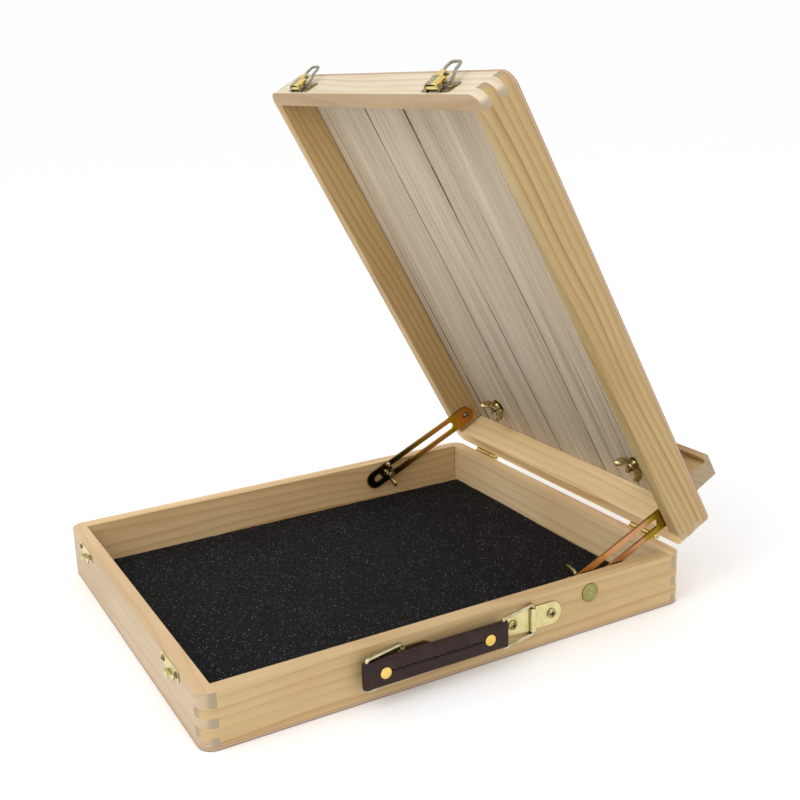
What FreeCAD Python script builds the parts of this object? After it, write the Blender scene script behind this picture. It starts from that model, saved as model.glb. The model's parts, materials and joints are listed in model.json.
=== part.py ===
import FreeCAD, Part
import math
import os
import Sketcher

# Table easel: a shallow wooden box whose lid is held up by two slotted stays.
# Millimetres.  +X is the side with the handle, -Y the front with the catches,
# +Y the rear with the hinges, +Z up.  The origin is the middle of the underside.
# Lid parts are drawn in the closed position and placed by one turn about the hinge.

DIMENSIONS = {
    # box
    "box_width": 330, "box_depth": 400, "base_height": 41.5, "lid_height": 30.5,
    "wall": 12, "corner_radius": 11, "bottom_thickness": 2.5, "panel_thickness": 2.5,
    "finger_height": 7.1, "closed_gap": 0.4,
    # foam liner: a slot at each side lets the stays dip past it when the lid is shut
    "foam_thickness": 6, "foam_side_gap": 3.4, "foam_end_gap": 0.2,
    # rear hinges
    "hinge_offset": 3.3, "hinge_rise": 0.3, "hinge_spacing": 232, "hinge_length": 32,
    "leaf_thickness": 1.2, "leaf_height": 13.5, "barrel_radius": 2.6, "hinge_pin_radius": 1.3,
    "knuckle_gap": 0.3, "open_angle": 61.9,
    # slotted stays and their bolts
    "bolt_y": 108, "bolt_z": 31.5, "bolt_radius": 3, "bolt_head_radius": 7.2, "bolt_head_height": 3,
    "pivot_y": 174.2, "pivot_rise": 12.1, "stay_width": 17, "stay_thickness": 2,
    "slot_width": 7.2, "slot_start": 20.4, "slot_end": 113.4, "stay_tip": 7.2, "washer_thickness": 0.8,
    "washer_radius": 7,
    # wing nuts
    "nut_radius": 4.8, "nut_height": 6.5, "wing_span": 12.5, "wing_height": 12, "wing_thickness": 1.8,
    # canvas ledge on the outside of the lid
    "ledge_length": 326, "ledge_y": 150, "ledge_thickness": 16, "ledge_height": 22.5,
    "lip_height": 4.5, "lip_thickness": 5, "ledge_bolt_x": 100, "ledge_bolt_radius": 2.5,
    # catches and toggle latches
    "latch_x": 110, "catch_length": 36, "catch_height": 8, "catch_z": 37, "catch_lobe": 5, "sheet": 0.9,
    "hook_width": 8, "hook_top": 33.9, "hook_reach": 4.2, "hook_drop": 3.7,
    "latch_length": 36, "latch_height": 12.4, "latch_rise": 8.7, "latch_pin_rise": 3.5, "latch_pin_out": 3.2,
    "lever_length": 14, "lever_root": 15, "lever_tip": 12, "lever_angle": 8, "latch_pin_radius": 0.9,
    "bail_pivot": 5.5, "bail_length": 19, "bail_foot": 12.5, "bail_loop": 7.5, "bail_wire": 1.1,
    "bail_angle": 14,
    # carrying handle
    "handle_z": 25, "bracket_spacing": 110, "bracket_mid_y": -0.4, "bracket_length": 52,
    "bracket_width": 18, "bracket_thickness": 1, "bead_radius": 2.6, "loop_wire": 1.4,
    "loop_length": 31, "loop_height": 23.4, "loop_angle": 12.9, "strap_height": 20,
    "strap_thickness": 5.6, "strap_end_radius": 3.6, "rivet_radius": 4.2, "rivet_spacing": 84,
    # wood screws: small on hinges, catches and latches, large on the handle brackets
    "screw_head": 2.5, "screw_shank": 1.2, "screw_length": 8,
    "bracket_screw_head": 3.7, "bracket_screw_shank": 1.6, "bracket_screw_length": 10,
    "catch_screw_spacing": 27, "bracket_screw_spacing": 34.4, "hinge_screw_spacing": 20,
}

doc = FreeCAD.newDocument("TableEasel")
sheet = doc.addObject("Spreadsheet::Sheet", "Dimensions")
for row, (alias, number) in enumerate(DIMENSIONS.items(), start=1):
    sheet.set(f"A{row}", alias)
    sheet.set(f"B{row}", str(number))
    sheet.setAlias(f"B{row}", alias)
doc.recompute()


class Size:
    """A length or angle that keeps its formula in the sheet beside its value."""

    def __init__(self, value, formula):
        self.value = value
        self.formula = formula

    def __add__(self, other):
        other = size(other)
        return Size(self.value + other.value, f"({self.formula} + {other.formula})")

    def __sub__(self, other):
        other = size(other)
        return Size(self.value - other.value, f"({self.formula} - {other.formula})")

    def __mul__(self, other):
        other = size(other)
        return Size(self.value * other.value, f"({self.formula} * {other.formula})")

    def __truediv__(self, other):
        other = size(other)
        return Size(self.value / other.value, f"({self.formula} / {other.formula})")

    def __neg__(self):
        return Size(-self.value, f"(0 - {self.formula})")

    def __radd__(self, other):
        return size(other) + self

    def __rsub__(self, other):
        return size(other) - self

    def __rmul__(self, other):
        return size(other) * self


def size(number):
    """A plain number, or a Size unchanged."""
    return number if isinstance(number, Size) else Size(float(number), repr(float(number)))


def cell(alias):
    """The Size held by one cell of the sheet."""
    return Size(float(sheet.get(alias)), f"Dimensions.{alias}")


def bind(feature, prop, amount):
    """Ties a property of a feature to the sheet."""
    feature.setExpression(prop, size(amount).formula)


nodes = []
TURN_TO = {
    "X": FreeCAD.Rotation(FreeCAD.Vector(0, 1, 0), 90),
    "Y": FreeCAD.Rotation(FreeCAD.Vector(1, 0, 0), -90),
    "Z": FreeCAD.Rotation(),
}


def vector(x, y, z):
    return FreeCAD.Vector(size(x).value, size(y).value, size(z).value)


def at(x, y, z, axis="Z"):
    """A placement at a point, with local Z along a main axis."""
    return FreeCAD.Placement(vector(x, y, z), TURN_TO[axis])


def node(feature, label, placement=None):
    """Makes a feature one of the sub-parts, and puts it in its place."""
    feature.Label = label
    if placement is not None:
        feature.Placement = placement
    nodes.append(feature)
    return feature


# ---------------------------------------------------------------- solid primitives

def place(feature, x, y, z):
    for axis, amount in zip("xyz", (x, y, z)):
        bind(feature, f"Placement.Base.{axis}", amount)


def box(name, x, y, z, length, width, height):
    feature = doc.addObject("Part::Box", name)
    for prop, amount in (("Length", length), ("Width", width), ("Height", height)):
        bind(feature, prop, amount)
    place(feature, x, y, z)
    return feature


def cylinder(name, x, y, z, radius, height, axis="Z"):
    feature = doc.addObject("Part::Cylinder", name)
    feature.Placement = FreeCAD.Placement(FreeCAD.Vector(), TURN_TO[axis])
    bind(feature, "Radius", radius)
    bind(feature, "Height", height)
    place(feature, x, y, z)
    return feature


def fuse(name, *shapes):
    feature = doc.addObject("Part::MultiFuse", name)
    feature.Shapes = list(shapes)
    feature.Refine = True
    return feature


def cut(name, stock, *tools):
    feature = doc.addObject("Part::Cut", name)
    feature.Base = stock
    feature.Tool = tools[0] if len(tools) == 1 else fuse(name + "_tools", *tools)
    feature.Refine = True
    return feature


# ---------------------------------------------------------------- sketched bodies

def body(name):
    return doc.addObject("PartDesign::Body", name)


def sketch(part, plane, offset=0):
    """An empty sketch on one of the body's own planes, moved along its normal."""
    drawing = part.newObject("Sketcher::SketchObject", part.Name + "_sketch")
    support = next(f for f in part.Origin.OriginFeatures if f.Role == plane + "_Plane")
    drawing.AttachmentSupport = [(support, "")]
    drawing.MapMode = "FlatFace"
    bind(drawing, "AttachmentOffset.Base.z", offset)
    return drawing


def fix_point(drawing, geometry, end, x, y):
    """Holds a point at x, y from the sketch's origin."""
    for kind, amount in (("DistanceX", size(x)), ("DistanceY", size(y))):
        index = drawing.addConstraint(Sketcher.Constraint(kind, -1, 1, geometry, end, amount.value))
        drawing.setExpression(f"Constraints[{index}]", amount.formula)


def fix_radius(drawing, geometry, radius):
    index = drawing.addConstraint(Sketcher.Constraint("Radius", geometry, size(radius).value))
    drawing.setExpression(f"Constraints[{index}]", size(radius).formula)


def circle(drawing, x, y, radius):
    shape = Part.Circle(vector(x, y, 0), FreeCAD.Vector(0, 0, 1), size(radius).value)
    index = drawing.addGeometry(shape)
    fix_point(drawing, index, 3, x, y)
    fix_radius(drawing, index, radius)


def obround(drawing, x0, x1, y, radius):
    """A slot outline along the sketch's X, between two end centres."""
    low, high = vector(x0, y, 0), vector(x1, y, 0)
    reach = FreeCAD.Vector(0, size(radius).value, 0)
    up = FreeCAD.Vector(0, 0, 1)
    left = Part.ArcOfCircle(Part.Circle(low, up, reach.y), math.pi / 2, 3 * math.pi / 2)
    right = Part.ArcOfCircle(Part.Circle(high, up, reach.y), -math.pi / 2, math.pi / 2)
    first = drawing.addGeometry(left)
    drawing.addGeometry(Part.LineSegment(low - reach, high - reach))
    drawing.addGeometry(right)
    drawing.addGeometry(Part.LineSegment(high + reach, low + reach))
    for turn in range(4):
        here, following = first + turn, first + (turn + 1) % 4
        drawing.addConstraint(Sketcher.Constraint("Tangent", here, 2, following, 1))
    fix_point(drawing, first, 3, x0, y)
    fix_point(drawing, first + 2, 3, x1, y)
    fix_radius(drawing, first, radius)


def outline(drawing, corners, closed=True):
    """Straight runs through corners (x, y) or (x, y, radius), with tangent arcs at the radii."""
    points = [vector(c[0], c[1], 0) for c in corners]
    count = len(points)
    ends = []
    for i, corner in enumerate(corners):
        rounded = len(corner) == 3
        if not rounded:
            ends.append((points[i], points[i], None))
            continue
        back = (points[i - 1] - points[i]).normalize()
        ahead = (points[(i + 1) % count] - points[i]).normalize()
        half = back.getAngle(ahead) / 2
        radius = size(corner[2]).value
        reach = radius / math.tan(half)
        middle = points[i] + (back + ahead).normalize() * (radius / math.sin(half))
        ends.append((points[i] + back * reach, points[i] + ahead * reach, middle))
    runs = {}
    for i in range(count if closed else count - 1):
        segment = Part.LineSegment(ends[i][1], ends[(i + 1) % count][0])
        runs[i] = drawing.addGeometry(segment)
    for i, corner in enumerate(corners):
        before, after = runs.get((i - 1) % count), runs.get(i)
        if ends[i][2] is None:
            if before is not None and after is not None:
                drawing.addConstraint(Sketcher.Constraint("Coincident", before, 2, after, 1))
            known = (after, 1) if after is not None else (before, 2)
            fix_point(drawing, *known, corner[0], corner[1])
            continue
        round_corner(drawing, corner, ends[i], before, after)


def round_corner(drawing, corner, ends, before, after):
    """A tangent arc between two runs whose lines meet at the corner."""
    start, end, middle = ends
    inward = (start + end) / 2 - middle
    on_arc = middle + inward.normalize() * size(corner[2]).value
    arc = drawing.addGeometry(Part.Arc(start, on_arc, end))
    turns_left = (start - middle).cross(end - middle).z > 0
    first, last = (1, 2) if turns_left else (2, 1)
    drawing.addConstraint(Sketcher.Constraint("Tangent", before, 2, arc, first))
    drawing.addConstraint(Sketcher.Constraint("Tangent", arc, last, after, 1))
    fix_radius(drawing, arc, corner[2])
    apex = drawing.addGeometry(Part.Point(vector(corner[0], corner[1], 0)), True)
    drawing.addConstraint(Sketcher.Constraint("PointOnObject", apex, 1, before))
    drawing.addConstraint(Sketcher.Constraint("PointOnObject", apex, 1, after))
    fix_point(drawing, apex, 1, corner[0], corner[1])


def rectangle(drawing, x0, y0, x1, y1, radius=None):
    rounding = () if radius is None else (radius,)
    corners = [(x, y, *rounding) for x, y in ((x0, y0), (x1, y0), (x1, y1), (x0, y1))]
    outline(drawing, corners)


def pad(part, drawing, length):
    feature = part.newObject("PartDesign::Pad", part.Name + "_pad")
    feature.Profile = drawing
    bind(feature, "Length", length)
    drawing.Visibility = False
    return feature


def revolve(part, drawing):
    """A full turn of a sketch about the sketch's own vertical axis."""
    feature = part.newObject("PartDesign::Revolution", part.Name + "_turned")
    feature.Profile = drawing
    feature.ReferenceAxis = (drawing, ["V_Axis"])
    feature.Angle = 360
    return feature


def plate(name, plane, offset, thickness, draw):
    """A body padded from one sketch that draw fills in."""
    part = body(name)
    drawing = sketch(part, plane, offset)
    draw(drawing)
    pad(part, drawing, thickness)
    return part


def rod(label, radius, length, placement):
    """A plain round pin along local X."""
    return node(plate(label, "YZ", 0, length, lambda drawing: circle(drawing, 0, 0, radius)), label, placement)


def turned(name, profile):
    """A solid of revolution about Z from points of radius and height."""
    part = body(name)
    drawing = sketch(part, "XZ")
    outline(drawing, profile)
    revolve(part, drawing)
    return part


def pipe(name, corners, wire, closed, profile_plane, profile_offset):
    """Round wire along a path in the body's XY plane."""
    part = body(name)
    path = sketch(part, "XY")
    outline(path, corners, closed)
    section = sketch(part, profile_plane, profile_offset)
    circle(section, 0, 0, wire)
    feature = part.newObject("PartDesign::AdditivePipe", name + "_wire")
    feature.Profile = section
    feature.Spine = path
    return part


def group(label, master, placements):
    """Copies of one fastener, separate solids in one sub-part."""
    feature = doc.addObject("Part::Feature", label)
    doc.recompute()
    copies = []
    for placement in placements:
        shape = master.Shape.copy()
        shape.Placement = placement
        copies.append(shape)
    feature.Shape = Part.makeCompound(copies)
    return node(feature, label)


# ---------------------------------------------------------------- shared dimensions

width, depth = cell("box_width"), cell("box_depth")
half_width, half_depth = width / 2, depth / 2
wall = cell("wall")
base_top = cell("base_height")
floor_top = cell("bottom_thickness")
corner = cell("corner_radius")
rim = base_top + cell("closed_gap")
panel_inner = rim + cell("lid_height") - cell("panel_thickness")
lid_top = rim + cell("lid_height")
finger = cell("finger_height")
inner_width = half_width - wall
hinge_y = half_depth + cell("hinge_offset")
hinge_z = base_top + cell("hinge_rise")
latch_x = cell("latch_x")
sheet_thickness = cell("sheet")
screw_hole = cell("screw_shank") + 0.1

OUTWARD = {"left": -1, "right": 1}
# Each stay nut was left with its wings nearly upright, turned this far from it in degrees.
WING_TILT = {"left": 15, "right": 4}
LEDGE_WING_TURN = 35
HALF_TURN = FreeCAD.Rotation(FreeCAD.Vector(0, 0, 1), 180)
lid_placement = FreeCAD.Placement(
    FreeCAD.Vector(),
    FreeCAD.Rotation(FreeCAD.Vector(1, 0, 0), -cell("open_angle").value),
    vector(0, hinge_y, hinge_z),
)


def on_lid(local):
    """Where a placement drawn on the closed lid comes to on the raised lid."""
    return lid_placement.multiply(local)


# ---------------------------------------------------------------- fasteners

def screw_master(name, head, shank, length):
    """Oval-head wood screw, its seat at Z = 0 and its shank below."""
    profile = [(0, -length), (shank, -length + shank * 1.5), (shank, 0), (head, 0),
               (head, head * 0.18), (head * 0.55, head * 0.46), (0, head * 0.52)]
    blank = turned(name + "_blank", profile)
    blade = head * 0.24
    reach = head * 0.62
    depth_left = head * 0.16
    along = box(name + "_recess_x", -reach, -blade / 2, depth_left, reach * 2, blade, head)
    across = box(name + "_recess_y", -blade / 2, -reach, depth_left, blade, reach * 2, head)
    return cut(name, blank, along, across)


def wing_nut_master():
    """Wing nut on a bolt along Z, its seat at Z = 0."""
    radius, height, span = cell("nut_radius"), cell("nut_height"), cell("wing_span")
    tall, thick = cell("wing_height"), cell("wing_thickness")
    hub = turned("wing_nut_hub", [(0, 0), (radius, 0), (radius * 0.8, height), (0, height)])

    def wings(drawing):
        outline(drawing, [(0, 1), (span * 0.7, 1.6), (span, tall * 0.7, 1.5), (span * 0.86, tall, 1.2),
                          (span * 0.6, tall * 0.86, 1.5), (radius * 0.8, height * 0.8), (0, height * 0.8),
                          (-radius * 0.8, height * 0.8), (-span * 0.6, tall * 0.86, 1.5),
                          (-span * 0.86, tall, 1.2), (-span, tall * 0.7, 1.5), (-span * 0.7, 1.6)])

    blades = plate("wing_nut_blades", "XZ", -thick / 2, thick, wings)
    return fuse("wing_nut", hub, blades)


def carriage_bolt(label, radius, head, height, length, placement):
    """Domed bolt, its seat at Z = 0, its head above and its shank below."""
    profile = [(0, -length), (radius - 0.5, -length), (radius, -length + 0.5), (radius, 0), (head, 0),
               (head, height * 0.25), (head * 0.72, height * 0.8), (0, height)]
    return node(turned(label, profile), label, placement)


def ring(label, outer, inner, thickness, placement):
    disc = cylinder(label + "_disc", 0, 0, 0, outer, thickness)
    bore = cylinder(label + "_bore", 0, 0, -1, inner, thickness + 2)
    return node(cut(label, disc, bore), label, placement)


small_screw = screw_master("small_screw", cell("screw_head"), cell("screw_shank"), cell("screw_length"))
bracket_screw = screw_master("bracket_screw", cell("bracket_screw_head"), cell("bracket_screw_shank"),
                             cell("bracket_screw_length"))
wing_nut = wing_nut_master()


def wing_nut_node(label, bolt_radius, placement):
    bore = cylinder(label + "_bore", 0, 0, -1, bolt_radius + 0.06, cell("nut_height") + 2)
    return node(cut(label, wing_nut, bore), label, placement)


# ---------------------------------------------------------------- wooden walls

def plank(name, x0, y0, x1, y1, rounded_low_x, rounded_low_y, bottom, height):
    """A board seen from above; its two outer corners follow the box's round corners."""
    def draw(drawing):
        corners = []
        for x, y, low_x, low_y in ((x0, y0, 1, 1), (x1, y0, 0, 1), (x1, y1, 0, 0), (x0, y1, 1, 0)):
            outer = (rounded_low_x in (None, low_x)) and (rounded_low_y in (None, low_y))
            corners.append((x, y, corner) if outer else (x, y))
        outline(drawing, corners)
    return plate(name, "XY", bottom, height, draw)


def finger_tools(name, spans, along_x):
    """Blocks that cut the other board's fingers out of both ends of a board."""
    tools = []
    reach = (half_width if along_x else half_depth) - wall
    for number, (low, high) in enumerate(spans):
        for sign in (-1, 1):
            start = reach if sign > 0 else -reach - wall - 1
            x, y = (start, -half_depth - 1) if along_x else (-half_width - 1, start)
            size_x, size_y = (wall + 1, depth + 2) if along_x else (width + 2, wall + 1)
            tools.append(box(f"{name}_finger_{number}_{sign + 1}", x, y, low, size_x, size_y, high - low))
    return tools


base_steps = [base_top + 1] + [floor_top + 6.3 + finger * i for i in (3, 2, 1, 0)] + [floor_top - 1]
lid_steps = [rim - 1] + [rim + 7.5 + finger * i for i in (0, 1, 2)] + [panel_inner + 1]
base_front_fingers = [(base_steps[i + 1], base_steps[i]) for i in (0, 2, 4)]
base_side_fingers = [(base_steps[i + 1], base_steps[i]) for i in (1, 3)]
lid_front_fingers = [(lid_steps[i], lid_steps[i + 1]) for i in (0, 2)]
lid_side_fingers = [(lid_steps[i], lid_steps[i + 1]) for i in (1, 3)]


def frame_walls(prefix, bottom, height, end_fingers, side_fingers, holes, placement):
    """Four boards with interlocking fingers; holes gives the drillings of each board."""
    boards = {
        "front": (-half_width, -half_depth, half_width, -half_depth + wall, None, 1),
        "rear": (-half_width, half_depth - wall, half_width, half_depth, None, 0),
        "left": (-half_width, -half_depth, -half_width + wall, half_depth, 1, None),
        "right": (half_width - wall, -half_depth, half_width, half_depth, 0, None),
    }
    for side, place_and_corners in boards.items():
        label = f"{prefix}_{side}_wall"
        along_x = side in ("front", "rear")
        stock = plank(label + "_board", *place_and_corners, bottom, height)
        tools = finger_tools(label, side_fingers if along_x else end_fingers, along_x)
        node(cut(label, stock, *tools, *holes[side]), label, placement)


def drill_y(name, x, face_y, z, radius, deep, inward):
    """A blind hole along Y, from a face into the wood."""
    start = face_y - 0.5 if inward > 0 else face_y + 0.5 - deep
    return cylinder(name, x, start, z, radius, deep, "Y")


screw_deep = cell("screw_length") + 1
half_catch = cell("catch_screw_spacing") / 2
half_hinge_screws = cell("hinge_screw_spacing") / 2
hinge_x = cell("hinge_spacing") / 2
latch_z = rim + cell("latch_rise")
catch_z = cell("catch_z")
leaf_screw_drop = cell("leaf_height") * 0.62
handle_z = cell("handle_z")
bracket_y = {"front": cell("bracket_mid_y") - cell("bracket_spacing") / 2,
             "rear": cell("bracket_mid_y") + cell("bracket_spacing") / 2}
half_bracket_screws = cell("bracket_screw_spacing") / 2
bolt_y, bolt_z, bolt_radius = cell("bolt_y"), cell("bolt_z"), cell("bolt_radius")


def pair_holes(name, centre_x, half_spacing, face_y, z, inward):
    """Pilot holes for the two screws of a left and a right fitting."""
    holes = []
    for side, sign in OUTWARD.items():
        for number, offset in enumerate((-half_spacing, half_spacing)):
            x = centre_x * sign + offset
            holes.append(drill_y(f"{name}_{side}_{number}", x, face_y, z, screw_hole, screw_deep, inward))
    return holes


def side_holes(side):
    """The stay bolt's hole, and on the right the pilot holes of the handle brackets."""
    sign = OUTWARD[side]
    start = inner_width - 1 if sign > 0 else -half_width - 1
    holes = [cylinder(f"bolt_hole_{side}", start, bolt_y, bolt_z, bolt_radius + 0.1, wall + 2, "X")]
    if side == "right":
        deep = cell("bracket_screw_length") + 0.5
        for place_name, middle in bracket_y.items():
            for number, offset in enumerate((-half_bracket_screws, half_bracket_screws)):
                holes.append(cylinder(f"bracket_hole_{place_name}_{number}", half_width - deep, middle + offset,
                                      handle_z, cell("bracket_screw_shank") + 0.1, deep + 1, "X"))
    return holes


frame_walls(
    "base", floor_top, base_top - floor_top, base_front_fingers, base_side_fingers,
    {
        "front": pair_holes("catch_hole", latch_x, half_catch, -half_depth, catch_z, 1),
        "rear": pair_holes("base_hinge_hole", hinge_x, half_hinge_screws, half_depth,
                           hinge_z - leaf_screw_drop, -1),
        "left": side_holes("left"),
        "right": side_holes("right"),
    },
    FreeCAD.Placement(),
)
frame_walls(
    "lid", rim, panel_inner - rim, lid_front_fingers, lid_side_fingers,
    {
        "front": pair_holes("latch_hole", latch_x, half_catch, -half_depth, latch_z, 1),
        "rear": pair_holes("lid_hinge_hole", hinge_x, half_hinge_screws, half_depth,
                           hinge_z + leaf_screw_drop, -1),
        "left": [],
        "right": [],
    },
    lid_placement,
)


def full_panel(name, bottom, thickness):
    def draw(drawing):
        rectangle(drawing, -half_width, -half_depth, half_width, half_depth, corner)
    return plate(name, "XY", bottom, thickness, draw)


node(full_panel("base_bottom_panel", 0, floor_top), "base_bottom_panel")

ledge_bolt_x, ledge_bolt_radius = cell("ledge_bolt_x"), cell("ledge_bolt_radius")
ledge_y, ledge_thickness = cell("ledge_y"), cell("ledge_thickness")
ledge_middle = ledge_y + ledge_thickness / 2


def ledge_bolt_holes(name):
    return [cylinder(f"{name}_{side}", ledge_bolt_x * sign, ledge_middle, panel_inner - 1,
                     ledge_bolt_radius + 0.1, cell("ledge_height") + 6)
            for side, sign in OUTWARD.items()]


panel_board = full_panel("lid_panel_board", panel_inner, cell("panel_thickness"))
node(cut("lid_panel", panel_board, *ledge_bolt_holes("panel_hole")), "lid_panel", lid_placement)

foam_x = inner_width - cell("foam_side_gap")
foam_y = half_depth - wall - cell("foam_end_gap")
foam = box("foam_liner", -foam_x, -foam_y, floor_top, foam_x * 2, foam_y * 2, cell("foam_thickness"))
node(foam, "foam_liner")


# ---------------------------------------------------------------- canvas ledge

def ledge_profile(drawing):
    """Seen along X: a stick on the lid's outer face with a lip at its outer edge."""
    outer = lid_top + cell("ledge_height")
    lip_inner = outer - cell("lip_thickness")
    outline(drawing, [(ledge_y, lid_top), (ledge_y + ledge_thickness, lid_top),
                      (ledge_y + ledge_thickness, outer, 1), (ledge_y - cell("lip_height"), outer, 1),
                      (ledge_y - cell("lip_height"), lip_inner), (ledge_y, lip_inner)])


ledge_board = plate("ledge_board", "YZ", -cell("ledge_length") / 2, cell("ledge_length"), ledge_profile)
node(cut("canvas_ledge", ledge_board, *ledge_bolt_holes("ledge_hole")), "canvas_ledge", lid_placement)

DOWN = FreeCAD.Rotation(FreeCAD.Vector(1, 0, 0), 180)
washer_thickness = cell("washer_thickness")
for side, sign in OUTWARD.items():
    carriage_bolt(f"ledge_bolt_{side}", ledge_bolt_radius, ledge_bolt_radius * 2.2, 2.2,
                  cell("ledge_height") + cell("panel_thickness") + 11,
                  on_lid(at(ledge_bolt_x * sign, ledge_middle, lid_top + cell("ledge_height"))))
    ring(f"ledge_washer_{side}", washer_thickness * 8, ledge_bolt_radius + 0.1, washer_thickness,
         on_lid(at(ledge_bolt_x * sign, ledge_middle, panel_inner - washer_thickness)))
    under_washer = vector(ledge_bolt_x * sign, ledge_middle, panel_inner - washer_thickness - 0.2)
    wing_turn = FreeCAD.Rotation(FreeCAD.Vector(0, 0, 1), LEDGE_WING_TURN)
    wing_nut_node(f"ledge_wing_nut_{side}", ledge_bolt_radius,
                  on_lid(FreeCAD.Placement(under_washer, wing_turn.multiply(DOWN))))


# ---------------------------------------------------------------- rear hinges

leaf_thickness = cell("leaf_thickness")
barrel, pin_radius = cell("barrel_radius"), cell("hinge_pin_radius")
hinge_length, knuckle_gap = cell("hinge_length"), cell("knuckle_gap")
knuckle = hinge_length / 3


def hinge_leaf(label, centre_x, above, placement):
    """Leaf on the rear face; the lid's leaf has the middle knuckle, the base's leaf the outer two."""
    height = cell("leaf_height")
    start_x = centre_x - hinge_length / 2
    flat_z = hinge_z + knuckle_gap / 2 if above else hinge_z - height - knuckle_gap / 2
    flat = box(label + "_flat", start_x, half_depth, flat_z, hinge_length, leaf_thickness, height)
    mine, others = ([1], [0, 2]) if above else ([0, 2], [1])
    rolls = []
    for i in mine:
        inset = knuckle_gap / 2
        rolls.append(cylinder(f"{label}_roll_{i}", start_x + knuckle * i + inset, hinge_y, hinge_z,
                              barrel, knuckle - knuckle_gap, "X"))
    clearance = barrel + 0.5
    gaps = [cylinder(label + "_bore", start_x - 1, hinge_y, hinge_z, pin_radius + 0.05,
                     hinge_length + 2, "X")]
    for i in others:
        gaps.append(box(f"{label}_gap_{i}", start_x + knuckle * i - knuckle_gap / 2, half_depth - 1,
                        hinge_z - clearance, knuckle + knuckle_gap, leaf_thickness + 2, clearance * 2))
    screw_z = hinge_z + leaf_screw_drop if above else hinge_z - leaf_screw_drop
    for number, offset in enumerate((-half_hinge_screws, half_hinge_screws)):
        gaps.append(cylinder(f"{label}_screw_hole_{number}", centre_x + offset, half_depth - 1, screw_z,
                             screw_hole, leaf_thickness + 2, "Y"))
    solid = fuse(label + "_blank", flat, *rolls)
    return node(cut(label, solid, *gaps), label, placement)


for side, sign in OUTWARD.items():
    hinge_leaf(f"hinge_base_leaf_{side}", hinge_x * sign, False, FreeCAD.Placement())
    hinge_leaf(f"hinge_lid_leaf_{side}", hinge_x * sign, True, lid_placement)
    rod(f"hinge_pin_{side}", pin_radius, hinge_length, at(hinge_x * sign - hinge_length / 2, hinge_y, hinge_z))


# ---------------------------------------------------------------- screws in the wood

def pair_placements(centre_x, half_spacing, y, z, toward):
    """Seats of the two screws of a left and a right fitting, heads towards -Y or +Y."""
    turn = FreeCAD.Rotation(FreeCAD.Vector(1, 0, 0), 90 if toward < 0 else -90)
    return [FreeCAD.Placement(vector(centre_x * sign + offset, y, z), turn)
            for sign in OUTWARD.values() for offset in (-half_spacing, half_spacing)]


group("catch_screws", small_screw,
      pair_placements(latch_x, half_catch, -half_depth - sheet_thickness, catch_z, -1))
group("hinge_base_screws", small_screw,
      pair_placements(hinge_x, half_hinge_screws, half_depth + leaf_thickness, hinge_z - leaf_screw_drop, 1))
lid_seats = pair_placements(hinge_x, half_hinge_screws, half_depth + leaf_thickness,
                            hinge_z + leaf_screw_drop, 1)
group("hinge_lid_screws", small_screw, [on_lid(seat) for seat in lid_seats])
latch_seats = pair_placements(latch_x, half_catch, -half_depth - sheet_thickness, latch_z, -1)
group("latch_screws", small_screw, [on_lid(seat) for seat in latch_seats])

bracket_face = half_width + cell("bracket_thickness")
group("bracket_screws", bracket_screw,
      [at(bracket_face, middle + offset, handle_z, "X")
       for middle in bracket_y.values() for offset in (-half_bracket_screws, half_bracket_screws)])


# ---------------------------------------------------------------- stays

washer_face = inner_width - washer_thickness
stay_face = washer_face - 0.2
stay_thickness = cell("stay_thickness")
stay_half = cell("stay_width") / 2
slot_half = cell("slot_width") / 2
pivot_closed = vector(0, cell("pivot_y"), rim + cell("pivot_rise"))
pivot = lid_placement.multVec(pivot_closed)
stay_slope = math.degrees(math.atan2(pivot.z - bolt_z.value, pivot.y - bolt_y.value))
slot_end = cell("slot_end")
tip_centre = slot_end + slot_half + cell("stay_tip") - stay_half


def stay_outline(drawing):
    obround(drawing, 0, tip_centre, 0, stay_half)
    obround(drawing, cell("slot_start"), slot_end, 0, slot_half)
    circle(drawing, 0, 0, 2.1)


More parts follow.
